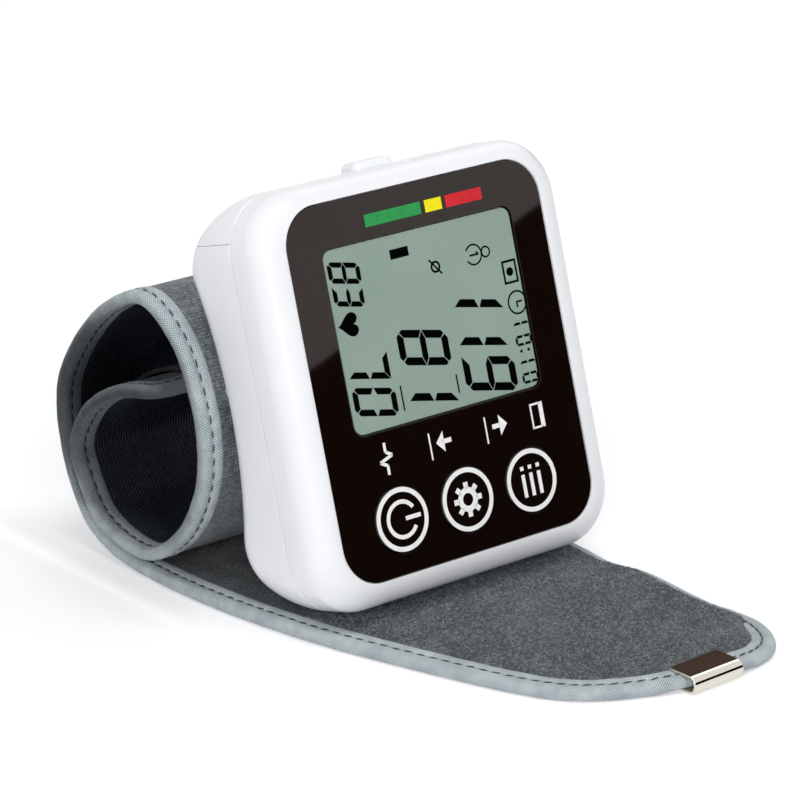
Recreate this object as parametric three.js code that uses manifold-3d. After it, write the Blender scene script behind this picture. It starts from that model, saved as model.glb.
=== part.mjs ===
// Wrist blood pressure monitor with its rolled cuff, in millimetres, +Z up.
// The head is drawn in its own frame: +X along the wrist, +Y up the face, +Z out of the face,
// with the middle of the window's front face at the origin. The cuff is drawn on the bench,
// where X and Y lie below that middle point and Z is the height over the table.
import * as THREE from "three";
import { mergeVertices } from "three/addons/utils/BufferGeometryUtils.js";
import Module from "manifold-3d";

const wasm = await Module();
wasm.setup();

// Clearances that many pieces share.
const SEAT = 0.3;
const LAYER_GAP = 0.25;
const OVERRUN = 1;

// How finely round shapes are cut.
const CORNER_STEPS = 5;
const SIDE_STEPS = 8;
const END_STEPS = 2;
const ROUND_SIDES = 20;
const SMALL_SIDES = 12;

// How the head stands: its lean from upright, and how high the casing's lower edge is held.
const stand = { lean: THREE.MathUtils.degToRad(16.9), rise: 6.1763 };

// The plastic casing. Its back is hollowed along the wrist and its ends are well rounded.
const casing = {
  halfWidth: 32.8,
  topHalf: 35.3,
  bottomHalf: 36.5,
  corner: 10,
  wall: 1.8,
  rim: 0.3,
  frontRound: 5,
  seam: 8.5,
  waistDepth: 19.6,
  ridgeDepth: 23.8,
  ridgeUnderTop: 12.5,
  ridgeOverBottom: 13.7,
  sideRound: 4.9,
  endRoundDepth: 14,
  endRoundReach: 11.2,
};
stand.height = stand.rise + casing.bottomHalf * Math.cos(stand.lean);

// How deep the back lies at a height on the face: least at the waist, most at the ridges.
function backDepth(y, inward = 0) {
  const upper = casing.topHalf - casing.ridgeUnderTop;
  const lower = casing.bottomHalf - casing.ridgeOverBottom;
  const reach = y > 0 ? upper : lower;
  const share = Math.min(1, (y / reach) ** 2);
  return casing.waistDepth - inward + (casing.ridgeDepth - casing.waistDepth) * share;
}

// The black window sheet inside the casing's front, the opening through which the display shows,
// and the ledge that the sheet is glued to.
const windowSheet = { sideBorder: 5.45, topBorder: 3.3, bottomBorder: 4.5, corner: 7, thickness: 1.6 };
windowSheet.width = 2 * (casing.halfWidth - windowSheet.sideBorder);
windowSheet.top = casing.topHalf - windowSheet.topBorder;
windowSheet.bottom = windowSheet.bottomBorder - casing.bottomHalf;
const opening = { sideMargin: 6.85, topMargin: 7.5, bottomMargin: 24.5, corner: 2 };
opening.width = windowSheet.width - 2 * opening.sideMargin;
opening.top = windowSheet.top - opening.topMargin;
opening.bottom = windowSheet.bottom + opening.bottomMargin;
const ledge = { sideLip: 2.35, endLip: 2.4, corner: 3, thickness: 1.7 };

// Three round keys in a row below the display.
const key = {
  radius: 5.7,
  proud: 0.5,
  flangeRadius: 6.6,
  flangeThickness: 0.7,
  stemRadius: 2,
  stemLength: 0.6,
  travel: 0.4,
  spare: 0.05,
  rowMargin: 9.3,
  pitch: 14.3,
  middleX: -0.2,
};
key.row = windowSheet.bottom + key.rowMargin;

const display = {
  hiddenEdge: 2.1,
  baseThickness: 1.2,
  faceBelow: 0.3,
  holderWall: 1.5,
  holderDepth: 2.8,
  sealWidth: 2,
  stripWidth: 2,
  stripMargin: 2.6,
};
display.width = opening.width + 2 * display.hiddenEdge;
display.top = opening.top + display.hiddenEdge;
display.bottom = opening.bottom - display.hiddenEdge;

const board = { sideMargin: 8.4, topMargin: 7.3, bottomMargin: 3.5, corner: 3, thickness: 1.2, front: 5 };
board.halfWidth = casing.halfWidth - board.sideMargin;
board.top = casing.topHalf - board.topMargin;
board.bottom = board.bottomMargin - casing.bottomHalf;
const chip = { size: 10, thickness: 1.2, x: -6, underKeys: 18.7 };
chip.y = key.row + chip.underKeys;
const buzzer = { radius: 4.5, thickness: 3, x: -17 };
buzzer.y = chip.y;
const keySwitch = { size: 5, body: 0.5, plungerRadius: 1.2, plunger: 0.55 };

// Two AAA cells lie across the head, under the end cap that slides off upwards.
const cell = {
  radius: 5.25,
  length: 43.4,
  nubRadius: 1.9,
  nub: 1.1,
  topRoom: 2.35,
  backRoom: 0.3922,
  pitch: 10.8,
};
cell.upperY = casing.topHalf - casing.wall - cell.topRoom - cell.radius;
cell.lowerY = cell.upperY - cell.pitch;
cell.depth = backDepth(cell.lowerY, casing.wall) - cell.backRoom - cell.radius;
const bay = { endRoom: 3.25, wall: 1, roof: 0.8, roofGap: 0.35, floorGap: 0.25 };
bay.halfWidth = (cell.length + cell.nub) / 2 + bay.endRoom;
bay.roofFront = cell.depth - cell.radius - bay.roofGap - bay.roof;
bay.bottomY = cell.lowerY - cell.radius - bay.floorGap - bay.wall;

// Screws that hold the two casing shells, and their posts.
const caseScrew = {
  sideMargin: 5,
  underBay: 5.6,
  bottomMargin: 10.5,
  shankRadius: 0.85,
  headRadius: 1.9,
  headThickness: 1.4,
  seatDepth: 14,
  bite: 3.4,
  postRadius: 2.6,
  bossRadius: 3.1,
};
caseScrew.x = casing.halfWidth - caseScrew.sideMargin;
caseScrew.upperY = bay.bottomY - caseScrew.underBay;
caseScrew.lowerY = caseScrew.bottomMargin - casing.bottomHalf;
const boardScrew = {
  sideMargin: 2.9,
  bottomMargin: 1.7,
  shankRadius: 0.6,
  headRadius: 1.3,
  headThickness: 0.8,
  post: 1.9,
};
boardScrew.x = board.halfWidth - boardScrew.sideMargin;
boardScrew.y = board.bottom + boardScrew.bottomMargin;

const cap = {
  height: 7,
  tongueInset: 1.1,
  tongueWidth: 1.2,
  tongueLength: 4,
  tongueHeight: 6,
  tab: 4.4,
  tabX: 3,
  tabProud: 1.3,
  tabDepth: 14,
};
cap.edgeY = casing.topHalf - cap.height;
const contact = { thickness: 0.4, width: 7.4, height: 7, springRadius: 2.6, tipRadius: 1.2 };

// The air line: motor, pump, manifold, sensor, valve and the nozzle into the cuff.
const air = {
  bottomRoom: 15,
  backRoom: 0.3915,
  tubeRadius: 2.1,
  boreRadius: 1.3,
  barbRadius: 1,
  barb: 3,
  stub: 1.2,
};
air.y = air.bottomRoom - casing.bottomHalf;
const motor = { radius: 5.6, length: 14.2, endX: -9.6, shaftRadius: 0.75, shaftGrip: 3 };
const crank = { radius: 2.5, thickness: 1.5, pinRadius: 0.6, pinLength: 1.4, throw: 1.2, reach: 4 };
const pump = { size: 11.6, cupLength: 8.6, cavityRadius: 4.4, floor: 2.4, diaphragm: 1.2, cover: 3.5 };
air.depth = backDepth(air.y + pump.size / 2, casing.wall) - air.backRoom - pump.size / 2;
const manifold = { size: 5, x: 14 };
const sensor = { size: 7, thickness: 1.8 };
const valve = { radius: 4, sideRoom: 9.3, overLine: 5.5, underScrew: 3.9 };
valve.x = casing.halfWidth - valve.sideRoom;
valve.startY = air.y + valve.overLine;
valve.length = caseScrew.upperY - caseScrew.bossRadius - valve.underScrew - valve.startY;
const cradle = { thickness: 1.2, width: 8, inset: 2.5 };
const nozzle = { radius: 2.2, bore: 1, flangeRadius: 4, flangeThickness: 1.2, top: 12.2, y: 0 };

// The pad on the casing's back that carries the cuff, and the rivets through it.
const mountPad = { width: 36, height: 10, thickness: 1.1 };
const rivet = { x: 12, shankRadius: 1.3, headRadius: 3.2, headThickness: 0.35, bossRadius: 3.2, grip: 6 };

// The cuff strip: its layers from the outside in, and its plan.
const strip = {
  nearX: -36.6,
  width: 67.8,
  cloth: 0.5,
  former: 0.3,
  bladder: 0.3,
  lining: 0.5,
  bindingWidth: 4.3,
  bindingChamfer: 0.6,
  formerMargin: 2,
  bladderMargin: 8,
};
strip.farX = strip.nearX + strip.width;
strip.thickness = strip.cloth + strip.former + strip.bladder + strip.lining + 3 * LAYER_GAP;
const hookPatch = { thickness: 0.8, margin: 6 };

// The hook fastener starts this many places from the strip's inner end.
const HOOK_START_COUNT = 1;

// The roll: how far it reaches behind the casing and how high it stands over the window's middle.
const roll = { depth: 42.2, rise: 9, frontBulge: 0.85, nestGap: 0.3 };
roll.height = stand.height + roll.rise;

// The tail that lies on the table, from the fold line to the tip.
const tail = { foldY: -12, length: 46.2, nearTaper: 7.8, farTaper: 2.8, taperStartY: 36, foldGap: 0.3 };
const taperPower = 1.9;
const clip = { length: 11.2, depth: 6.4, sheet: 0.5, bend: 1, x: 9.9, turn: THREE.MathUtils.degToRad(2) };

const colours = {
  white: 0xf1f2f5,
  black: 0x120b0a,
  display: 0x93a69b,
  green: 0x2f6b46,
  steel: 0xb9bcc0,
  darkPlastic: 0x2b2d30,
  clearRubber: 0xd9dcd8,
  fleece: 0x4a4f52,
  lining: 0x15181f,
  binding: 0x9aa5a8,
  natural: 0xdedbd0,
  label: 0x3a5f8a,
};

const monitor = new THREE.Group();
monitor.position.set(0, 0, stand.height);
monitor.rotation.x = Math.PI / 2 - stand.lean;
monitor.updateMatrixWorld(true);
const bench = new THREE.Group();
bench.add(monitor);

function material(name, colour, roughness, metalness = 0) {
  return new THREE.MeshStandardMaterial({ name, color: colour, roughness, metalness });
}
const glossWhite = material("gloss_white_abs", colours.white, 0.25);
const glossBlack = material("gloss_black_acrylic", colours.black, 0.1);
const displayGlass = material("display_glass", colours.display, 0.35);
const greenBoard = material("green_board", colours.green, 0.5);
const steel = material("plated_steel", colours.steel, 0.3, 1);
const darkPlastic = material("dark_plastic", colours.darkPlastic, 0.5);
const naturalPlastic = material("natural_plastic", colours.natural, 0.5);
const softRubber = material("silicone_rubber", colours.clearRubber, 0.6);
const fleeceCloth = material("dark_grey_fleece", colours.fleece, 0.95);
const liningCloth = material("black_ribbed_lining", colours.lining, 0.8);
const bindingTape = material("grey_binding_tape", colours.binding, 0.8);
const cellLabel = material("cell_label", colours.label, 0.4);

function addPiece(group, name, shape, finish) {
  const geometry = shape.isBufferGeometry ? shape : geometryOf(shape);
  const mesh = new THREE.Mesh(geometry, finish);
  mesh.name = name;
  group.add(mesh);
}

// A closed geometry as a solid that can be joined and cut.
function solid(geometry) {
  const bare = geometry.clone();
  bare.deleteAttribute("normal");
  bare.deleteAttribute("uv");
  const merged = mergeVertices(bare, 1e-4);
  const vertProperties = new Float32Array(merged.attributes.position.array);
  const triVerts = new Uint32Array(merged.index.array);
  return new wasm.Manifold(new wasm.Mesh({ numProp: 3, vertProperties, triVerts }));
}

function geometryOf(shape) {
  const mesh = shape.getMesh();
  const geometry = new THREE.BufferGeometry();
  geometry.setAttribute("position", new THREE.BufferAttribute(mesh.vertProperties.slice(), 3));
  geometry.setIndex(new THREE.BufferAttribute(mesh.triVerts.slice(), 1));
  geometry.computeVertexNormals();
  return geometry;
}

const joined = (...shapes) => shapes.reduce((all, next) => all.add(next));
const cutBy = (body, ...tools) => tools.reduce((left, tool) => left.subtract(tool), body);

function block(x0, x1, y0, y1, z0, z1) {
  const box = new THREE.BoxGeometry(x1 - x0, y1 - y0, z1 - z0);
  box.translate((x0 + x1) / 2, (y0 + y1) / 2, (z0 + z1) / 2);
  return solid(box);
}

// A round bar along Z between two heights.
function post(radius, x, y, z0, z1, sides = ROUND_SIDES) {
  const bar = new THREE.CylinderGeometry(radius, radius, z1 - z0, sides);
  bar.rotateX(Math.PI / 2);
  bar.translate(x, y, (z0 + z1) / 2);
  return solid(bar);
}

// A round bar along X between two places.
function bar(radius, x0, x1, y, z, sides = ROUND_SIDES) {
  const round = new THREE.CylinderGeometry(radius, radius, x1 - x0, sides);
  round.rotateZ(Math.PI / 2);
  round.translate((x0 + x1) / 2, y, z);
  return solid(round);
}

// A round bar along Y between two places.
function rod(radius, x, y0, y1, z, sides = ROUND_SIDES) {
  const round = new THREE.CylinderGeometry(radius, radius, y1 - y0, sides);
  round.translate(x, (y0 + y1) / 2, z);
  return solid(round);
}

// A rounded rectangle, counter-clockwise from its right side, with as many points at any size.
function roundedRing(halfWidth, top, bottom, corner) {
  const centres = [
    [halfWidth - corner, top - corner],
    [corner - halfWidth, top - corner],
    [corner - halfWidth, corner - bottom],
    [halfWidth - corner, corner - bottom],
  ];
  const points = [];
  centres.forEach(([x, y], side) => {
    for (let step = 0; step <= CORNER_STEPS; step++) {
      const angle = (Math.PI / 2) * (side + step / CORNER_STEPS);
      points.push(new THREE.Vector2(x + corner * Math.cos(angle), y + corner * Math.sin(angle)));
    }
    const from = points[points.length - 1];
    const [nextX, nextY] = centres[(side + 1) % centres.length];
    const angle = (Math.PI / 2) * (side + 1);
    const to = new THREE.Vector2(nextX + corner * Math.cos(angle), nextY + corner * Math.sin(angle));
    const steps = side % 2 ? SIDE_STEPS : END_STEPS;
    for (let step = 1; step < steps; step++) points.push(from.clone().lerp(to, step / steps));
  });
  return points;
}

// A flat sheet with rounded corners, from its top edge to its bottom one, between two levels.
function sheet(width, top, bottom, corner, z0, z1) {
  const reach = (top - bottom) / 2;
  const outline = new THREE.Shape(roundedRing(width / 2, reach, reach, corner));
  const plate = new THREE.ExtrudeGeometry(outline, { depth: z1 - z0, bevelEnabled: false });
  plate.translate(0, (top + bottom) / 2, z0);
  return solid(plate);
}

// Closes a stack of rings of equal count, with a fan at each end.
function stacked(rings, firstMiddle, lastMiddle) {
  const count = rings[0].length;
  const vertices = [...rings.flat(), firstMiddle, lastMiddle];
  const first = rings.length * count;
  const faces = [];
  rings.slice(1).forEach((ring, level) => {
    for (let place = 0; place < count; place++) {
      const next = (place + 1) % count;
      const lower = level * count;
      const upper = lower + count;
      faces.push(lower + place, upper + place, upper + next, lower + place, upper + next, lower + next);
    }
  });
  for (let place = 0; place < count; place++) {
    const next = (place + 1) % count;
    const end = (rings.length - 1) * count;
    faces.push(first, place, next, first + 1, end + next, end + place);
  }
  const geometry = new THREE.BufferGeometry().setFromPoints(vertices);
  geometry.setIndex(faces);
  return geometry;
}

// Casing shells

// How far a rounded edge draws in, at a height over the form's deepest level.
function drawnIn(height, depth, reach) {
  if (height >= depth) return 0;
  const share = (depth - height) / depth;
  return reach * (1 - Math.sqrt(1 - share * share));
}

// The back half of the casing from a level down, drawn in all round by a wall's thickness.
function backForm(inward, level) {
  const deepest = casing.ridgeDepth - inward;
  const top = casing.seam;
  const levelCount = 9;
  const centreShares = [0.75, 0.5, 0.25];
  const rings = [];
  const ringAt = (sideIn, endIn, z, share = 1) => {
    const corner = Math.max(inward + SEAT, casing.corner - inward - Math.max(sideIn, endIn) / 2);
    const outline = roundedRing(
      casing.halfWidth - inward - sideIn,
      casing.topHalf - inward - endIn,
      casing.bottomHalf - inward - endIn,
      corner,
    );
    return outline.map((point) => {
      const y = point.y * share;
      const reach = (backDepth(y, inward) - top) / (deepest - top);
      return new THREE.Vector3(point.x * share, y, z > -top ? z : -top + (z + top) * reach);
    });
  };
  rings.push(ringAt(0, 0, level));
  for (let step = 1; step <= levelCount; step++) {
    const z = -top - (deepest - top) * Math.sin(((Math.PI / 2) * step) / levelCount);
    const height = deepest + z;
    const sideIn = drawnIn(height, casing.sideRound, casing.sideRound);
    const endIn = drawnIn(height, casing.endRoundDepth, casing.endRoundReach);
    rings.push(ringAt(sideIn, endIn, z));
  }
  centreShares.forEach((share) => {
    rings.push(ringAt(casing.sideRound, casing.endRoundReach, -deepest, share));
  });
  const middle = new THREE.Vector3(0, 0, -backDepth(0, inward));
  return solid(stacked(rings, new THREE.Vector3(0, 0, level), middle));
}

// The front half of the casing, with its rounded front edge.
function frontForm() {
  const roundSteps = 6;
  const rings = [];
  const ringAt = (inset, z) =>
    roundedRing(
      casing.halfWidth - inset,
      casing.topHalf - inset,
      casing.bottomHalf - inset,
      casing.corner - inset / 2,
    ).map((point) => new THREE.Vector3(point.x, point.y, z));
  for (let step = 0; step <= roundSteps; step++) {
    const angle = ((Math.PI / 2) * step) / roundSteps;
    const inset = casing.frontRound * (1 - Math.sin(angle));
    rings.push(ringAt(inset, casing.rim - casing.frontRound * (1 - Math.cos(angle))));
  }
  rings.push(ringAt(0, -casing.seam));
  return solid(stacked(rings, new THREE.Vector3(0, 0, casing.rim), new THREE.Vector3(0, 0, -casing.seam)));
}

const screwPlaces = [-1, 1].flatMap((side) => [
  [side * caseScrew.x, caseScrew.upperY],
  [side * caseScrew.x, caseScrew.lowerY],
]);
const pocketFloor = -(windowSheet.thickness + SEAT);
const ledgeBack = pocketFloor - ledge.thickness;
const boardFront = -board.front;
const boardBack = boardFront - board.thickness;

function frontShell() {
  const cavity = sheet(
    (casing.halfWidth - casing.wall) * 2,
    casing.topHalf - casing.wall,
    casing.wall - casing.bottomHalf,
    casing.corner - casing.wall,
    -casing.seam - OVERRUN,
    ledgeBack,
  );
  const pocket = sheet(
    windowSheet.width + 2 * SEAT,
    windowSheet.top + SEAT,
    windowSheet.bottom - SEAT,
    windowSheet.corner + SEAT,
    pocketFloor,
    casing.rim + OVERRUN,
  );
  const through = sheet(
    windowSheet.width - 2 * ledge.sideLip,
    windowSheet.top - ledge.endLip,
    windowSheet.bottom + ledge.endLip,
    ledge.corner,
    ledgeBack - OVERRUN,
    casing.rim + OVERRUN,
  );
  const posts = screwPlaces.map(([x, y]) =>
    post(caseScrew.postRadius, x, y, -casing.seam + SEAT, ledgeBack + SEAT),
  );
  const holes = screwPlaces.map(([x, y]) =>
    post(caseScrew.shankRadius + SEAT, x, y, -casing.seam, ledgeBack - SEAT, SMALL_SIDES),
  );
  const boardPosts = [-1, 1].map((side) =>
    post(boardScrew.post, side * boardScrew.x, boardScrew.y, boardFront + SEAT, ledgeBack + SEAT),
  );
  const holeEnd = pocketFloor - SEAT;
  const boardHoles = [-1, 1].map((side) =>
    post(boardScrew.shankRadius + SEAT, side * boardScrew.x, boardScrew.y, boardFront, holeEnd, SMALL_SIDES),
  );
  const hollow = cutBy(frontForm(), cavity, through, pocket);
  return cutBy(joined(hollow, ...posts, ...boardPosts), ...holes, ...boardHoles);
}

// The pad stands off the waist of the back and fills its hollow.
const padFace = casing.waistDepth + mountPad.thickness;

// Ribs that rise from the back to carry the motor, the pump, the manifold and the valve.
function cradleRibs() {
  const reach = cradle.width / 2;
  const rib = (x, y, top) =>
    block(x, x + cradle.thickness, y - reach, y + reach, -casing.ridgeDepth, -air.depth - top - SEAT);
  const motorStart = motor.endX - motor.length;
  return [
    rib(motorStart + cradle.inset, air.y, -SEAT),
    rib(motor.endX - cradle.inset, air.y, -SEAT),
    rib(motor.endX + pump.cupLength / 2, air.y, pump.size / 2),
    rib(manifold.x - cradle.thickness / 2, air.y, manifold.size / 2),
    rib(valve.x - cradle.thickness / 2, valve.startY + valve.length / 2, valve.radius),
  ];
}

function rearShell() {
  const level = -(casing.seam + SEAT);
  const outside = backForm(0, level);
  const inside = backForm(casing.wall, level + OVERRUN);
  const bossTop = level;
  const bosses = screwPlaces.map(([x, y]) =>
    post(caseScrew.bossRadius, x, y, -casing.ridgeDepth, bossTop),
  );
  const bayTop = cap.edgeY;
  const bayReach = bay.halfWidth + bay.wall;
  const bayWalls = [-bayReach, bay.halfWidth].map((x) =>
    block(x, x + bay.wall, bay.bottomY, bayTop, -casing.ridgeDepth, -bay.roofFront),
  );
  const bayFloor = block(-bayReach, bayReach, bay.bottomY, bay.bottomY + bay.wall, -casing.ridgeDepth, -bay.roofFront);
  const bayRoof = block(-bayReach, bayReach, bay.bottomY, bayTop, -bay.roofFront - bay.roof, -bay.roofFront);
  const rivetBosses = [-1, 1].map((side) =>
    post(rivet.bossRadius, side * rivet.x, nozzle.y, -casing.waistDepth, -(padFace - rivet.grip - SEAT)),
  );
  const pad = block(
    -mountPad.width / 2,
    mountPad.width / 2,
    nozzle.y - mountPad.height / 2,
    nozzle.y + mountPad.height / 2,
    -padFace,
    -(casing.waistDepth - casing.wall),
  );
  const ribs = joined(...bosses, ...bayWalls, bayFloor, bayRoof);
  const envelope = joined(outside, sheet(2 * bayReach, bayTop, -bayTop, SEAT, level, -bay.roofFront));
  const holes = screwPlaces.flatMap(([x, y]) => [
    post(caseScrew.shankRadius + SEAT, x, y, -casing.ridgeDepth, bossTop + OVERRUN, SMALL_SIDES),
    post(caseScrew.headRadius + SEAT, x, y, -casing.ridgeDepth - OVERRUN, -caseScrew.seatDepth),
  ]);
  const rivetHoles = [-1, 1].map((side) =>
    post(rivet.shankRadius + SEAT, side * rivet.x, nozzle.y, -padFace - OVERRUN, -casing.seam, SMALL_SIDES),
  );
  const nozzleHole = post(nozzle.radius + SEAT, 0, nozzle.y, -padFace - OVERRUN, -casing.seam);
  const beyondCap = block(
    -casing.halfWidth - OVERRUN,
    casing.halfWidth + OVERRUN,
    cap.edgeY - SEAT / 2,
    casing.topHalf + OVERRUN,
    -casing.ridgeDepth - OVERRUN,
    0,
  );
  const motorRoom = bar(motor.radius + SEAT, -casing.halfWidth, motor.endX, air.y, -air.depth);
  const cradles = cutBy(joined(...cradleRibs()), motorRoom);
  const inner = joined(ribs, cradles).intersect(envelope);
  const walls = joined(cutBy(outside, inside), inner, ...rivetBosses, pad);
  return cutBy(walls, ...holes, ...rivetHoles, nozzleHole, beyondCap);
}

function batteryCap() {
  const level = -(casing.seam + SEAT);
  const shell = cutBy(backForm(0, level), backForm(casing.wall, level + OVERRUN));
  const kept = block(
    -casing.halfWidth - OVERRUN,
    casing.halfWidth + OVERRUN,
    cap.edgeY + SEAT / 2,
    casing.topHalf + OVERRUN,
    -casing.ridgeDepth - OVERRUN,
    0,
  );
  const inner = casing.halfWidth - casing.wall - cap.tongueInset;
  const tongues = [-1, 1].map((side) => {
    const from = side * inner;
    const to = side * (inner - cap.tongueWidth);
    return block(
      Math.min(from, to),
      Math.max(from, to),
      cap.edgeY - cap.tongueLength,
      cap.edgeY + cap.tongueLength / 2,
      level - SEAT - cap.tongueHeight,
      level - SEAT,
    );
  });
  const roots = [-1, 1].map((side) => {
    const from = side * (casing.halfWidth - casing.wall / 2);
    const to = side * (inner - cap.tongueWidth);
    return block(
      Math.min(from, to),
      Math.max(from, to),
      cap.edgeY + SEAT,
      cap.edgeY + cap.tongueLength / 2,
      level - SEAT - cap.tongueHeight,
      level - SEAT,
    );
  });
  const tab = new THREE.SphereGeometry(1, ROUND_SIDES, SMALL_SIDES);
  tab.scale(cap.tab, 2 * cap.tabProud, cap.tab / 2);
  tab.translate(cap.tabX, casing.topHalf - cap.tabProud, -cap.tabDepth);
  return joined(shell.intersect(kept), ...tongues, ...roots, solid(tab));
}

addPiece(monitor, "front_shell", frontShell(), glossWhite);
addPiece(monitor, "rear_shell", rearShell(), glossWhite);
addPiece(monitor, "battery_cap", batteryCap(), glossWhite);

// Window, keys and display

const keyPlaces = [
  ["power_key", key.middleX - key.pitch],
  ["set_key", key.middleX],
  ["memory_key", key.middleX + key.pitch],
];

function windowPiece() {
  const { width, top, bottom, corner, thickness } = windowSheet;
  const whole = sheet(width, top, bottom, corner, -thickness, 0);
  const back = -thickness - OVERRUN;
  const viewing = sheet(opening.width, opening.top, opening.bottom, opening.corner, back, OVERRUN);
  const holes = keyPlaces.map(([, x]) => post(key.radius + SEAT, x, key.row, back, OVERRUN));
  return cutBy(whole, viewing, ...holes);
}

const flangeBack = pocketFloor - key.flangeThickness;
const stemBack = flangeBack - key.stemLength;
const plungerFront = stemBack - key.travel - key.spare;
const switchFront = plungerFront - key.spare - keySwitch.plunger + key.spare;

function keyPiece(x) {
  return joined(
    post(key.radius, x, key.row, pocketFloor - key.flangeThickness, key.proud),
    post(key.flangeRadius, x, key.row, flangeBack, pocketFloor),
    post(key.stemRadius, x, key.row, stemBack, flangeBack + key.flangeThickness / 2, SMALL_SIDES),
  );
}

function switchPiece(x) {
  const half = keySwitch.size / 2;
  return joined(
    block(x - half, x + half, key.row - half, key.row + half, switchFront - keySwitch.body, switchFront),
    post(keySwitch.plungerRadius, x, key.row, switchFront - keySwitch.body / 2, plungerFront, SMALL_SIDES),
  );
}

function displayPiece() {
  const back = pocketFloor - display.baseThickness;
  const face = sheet(
    opening.width - 2 * SEAT,
    opening.top - SEAT,
    opening.bottom + SEAT,
    opening.corner - SEAT,
    back,
    -display.faceBelow,
  );
  const base = sheet(display.width, display.top, display.bottom, SEAT, back, pocketFloor);
  return joined(face, base);
}

function holderPiece() {
  const { width, top, bottom, holderWall, sealWidth } = display;
  const reach = SEAT + holderWall;
  const back = pocketFloor - display.holderDepth;
  const seatBack = pocketFloor - display.baseThickness - SEAT;
  const outer = sheet(width + 2 * reach, top + reach, bottom - reach, holderWall, back, pocketFloor);
  const seat = sheet(width + 2 * SEAT, top + SEAT, bottom - SEAT, SEAT, seatBack, OVERRUN);
  const through = sheet(
    width - 2 * sealWidth,
    top - sealWidth,
    bottom + sealWidth,
    holderWall,
    back - OVERRUN,
    OVERRUN,
  );
  return cutBy(outer, seat, through);
}

// The rubber strip that links the display's edge to the board, inside the holder's opening.
function stripPiece() {
  const edge = display.bottom + display.sealWidth + SEAT;
  const reach = display.width / 2 - display.stripMargin;
  return block(
    -reach,
    reach,
    edge,
    edge + display.stripWidth,
    boardFront + LAYER_GAP,
    pocketFloor - display.baseThickness - LAYER_GAP,
  );
}

addPiece(monitor, "window_sheet", windowPiece(), glossBlack);
keyPlaces.forEach(([name, x]) => addPiece(monitor, name, keyPiece(x), glossBlack));
keyPlaces.forEach(([name, x]) => addPiece(monitor, name.replace("key", "switch"), switchPiece(x), darkPlastic));
addPiece(monitor, "display_glass", displayPiece(), displayGlass);
addPiece(monitor, "display_holder", holderPiece(), darkPlastic);
addPiece(monitor, "display_contact_strip", stripPiece(), softRubber);

// Circuit board and what it carries

function boardPiece() {
  const plate = sheet(2 * board.halfWidth, board.top, board.bottom, board.corner, boardBack, boardFront);
  const holes = [-1, 1].map((side) =>
    post(boardScrew.shankRadius + SEAT, side * boardScrew.x, boardScrew.y, boardBack - OVERRUN, OVERRUN, SMALL_SIDES),
  );
  return cutBy(plate, ...holes);
}

function boardScrewPiece(x) {
  const headFront = boardBack - SEAT;
  return joined(
    post(boardScrew.headRadius, x, boardScrew.y, headFront - boardScrew.headThickness, headFront, SMALL_SIDES),
    post(boardScrew.shankRadius, x, boardScrew.y, headFront - boardScrew.headThickness / 2, ledgeBack, SMALL_SIDES),
  );
}

function caseScrewPiece(x, y) {
  const headFront = -caseScrew.seatDepth - SEAT;
  return joined(
    post(caseScrew.headRadius, x, y, headFront - caseScrew.headThickness, headFront),
    post(caseScrew.shankRadius, x, y, headFront - SEAT, -casing.seam + caseScrew.bite, SMALL_SIDES),
  );
}

const partsFront = boardBack - SEAT;

function chipPiece() {
  const reach = chip.size / 2;
  const { x, y } = chip;
  return block(x - reach, x + reach, y - reach, y + reach, partsFront - chip.thickness, partsFront);
}

addPiece(monitor, "circuit_board", boardPiece(), greenBoard);
addPiece(monitor, "controller_chip", chipPiece(), darkPlastic);
addPiece(
  monitor,
  "buzzer",
  post(buzzer.radius, buzzer.x, buzzer.y, partsFront - buzzer.thickness, partsFront),
  darkPlastic,
);
[-1, 1].forEach((side, index) => {
  addPiece(monitor, `board_screw_${index + 1}`, boardScrewPiece(side * boardScrew.x), steel);
});
screwPlaces.forEach(([x, y], index) => {
  addPiece(monitor, `case_screw_${index + 1}`, caseScrewPiece(x, y), steel);
});

// Cells and contacts

function cellPiece(y, towards) {
  const profile = [
    new THREE.Vector2(0, 0),
    new THREE.Vector2(cell.radius - SEAT, 0),
    new THREE.Vector2(cell.radius, SEAT),
    new THREE.Vector2(cell.radius, cell.length - SEAT),
    new THREE.Vector2(cell.radius - SEAT, cell.length),
    new THREE.Vector2(cell.nubRadius, cell.length),
    new THREE.Vector2(cell.nubRadius, cell.length + cell.nub),
    new THREE.Vector2(0, cell.length + cell.nub),
  ];
  const body = new THREE.LatheGeometry(profile, ROUND_SIDES);
  body.translate(0, -(cell.length + cell.nub) / 2, 0);
  body.rotateZ((-towards * Math.PI) / 2);
  body.translate(0, y, -cell.depth);
  return solid(body);
}

// A contact plate on an end wall of the bay, with a spring cone or a dimple for each cell.
function contactPiece(side, cells) {
  const wallX = side * (bay.halfWidth - SEAT);
  const faceX = wallX - side * contact.thickness;
  const lowest = Math.min(...cells.map(({ y }) => y)) - contact.width / 2;
  const highest = Math.max(...cells.map(({ y }) => y)) + contact.width / 2;
  const plate = block(
    Math.min(wallX, faceX),
    Math.max(wallX, faceX),
    lowest,
    highest,
    -cell.depth - contact.height / 2,
    -cell.depth + contact.height / 2,
  );
  const cellEnd = (cell.length + cell.nub) / 2 + SEAT;
  const reach = Math.abs(faceX) - cellEnd;
  const cones = cells.map(({ y, spring }) => {
    const base = spring ? contact.springRadius : contact.tipRadius + SEAT;
    const cone = new THREE.CylinderGeometry(contact.tipRadius, base, reach + contact.thickness / 2, ROUND_SIDES);
    cone.rotateZ((side * Math.PI) / 2);
    cone.translate(side * (cellEnd + (reach + contact.thickness / 2) / 2), y, -cell.depth);
    return solid(cone);
  });
  return joined(plate, ...cones);
}

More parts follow.
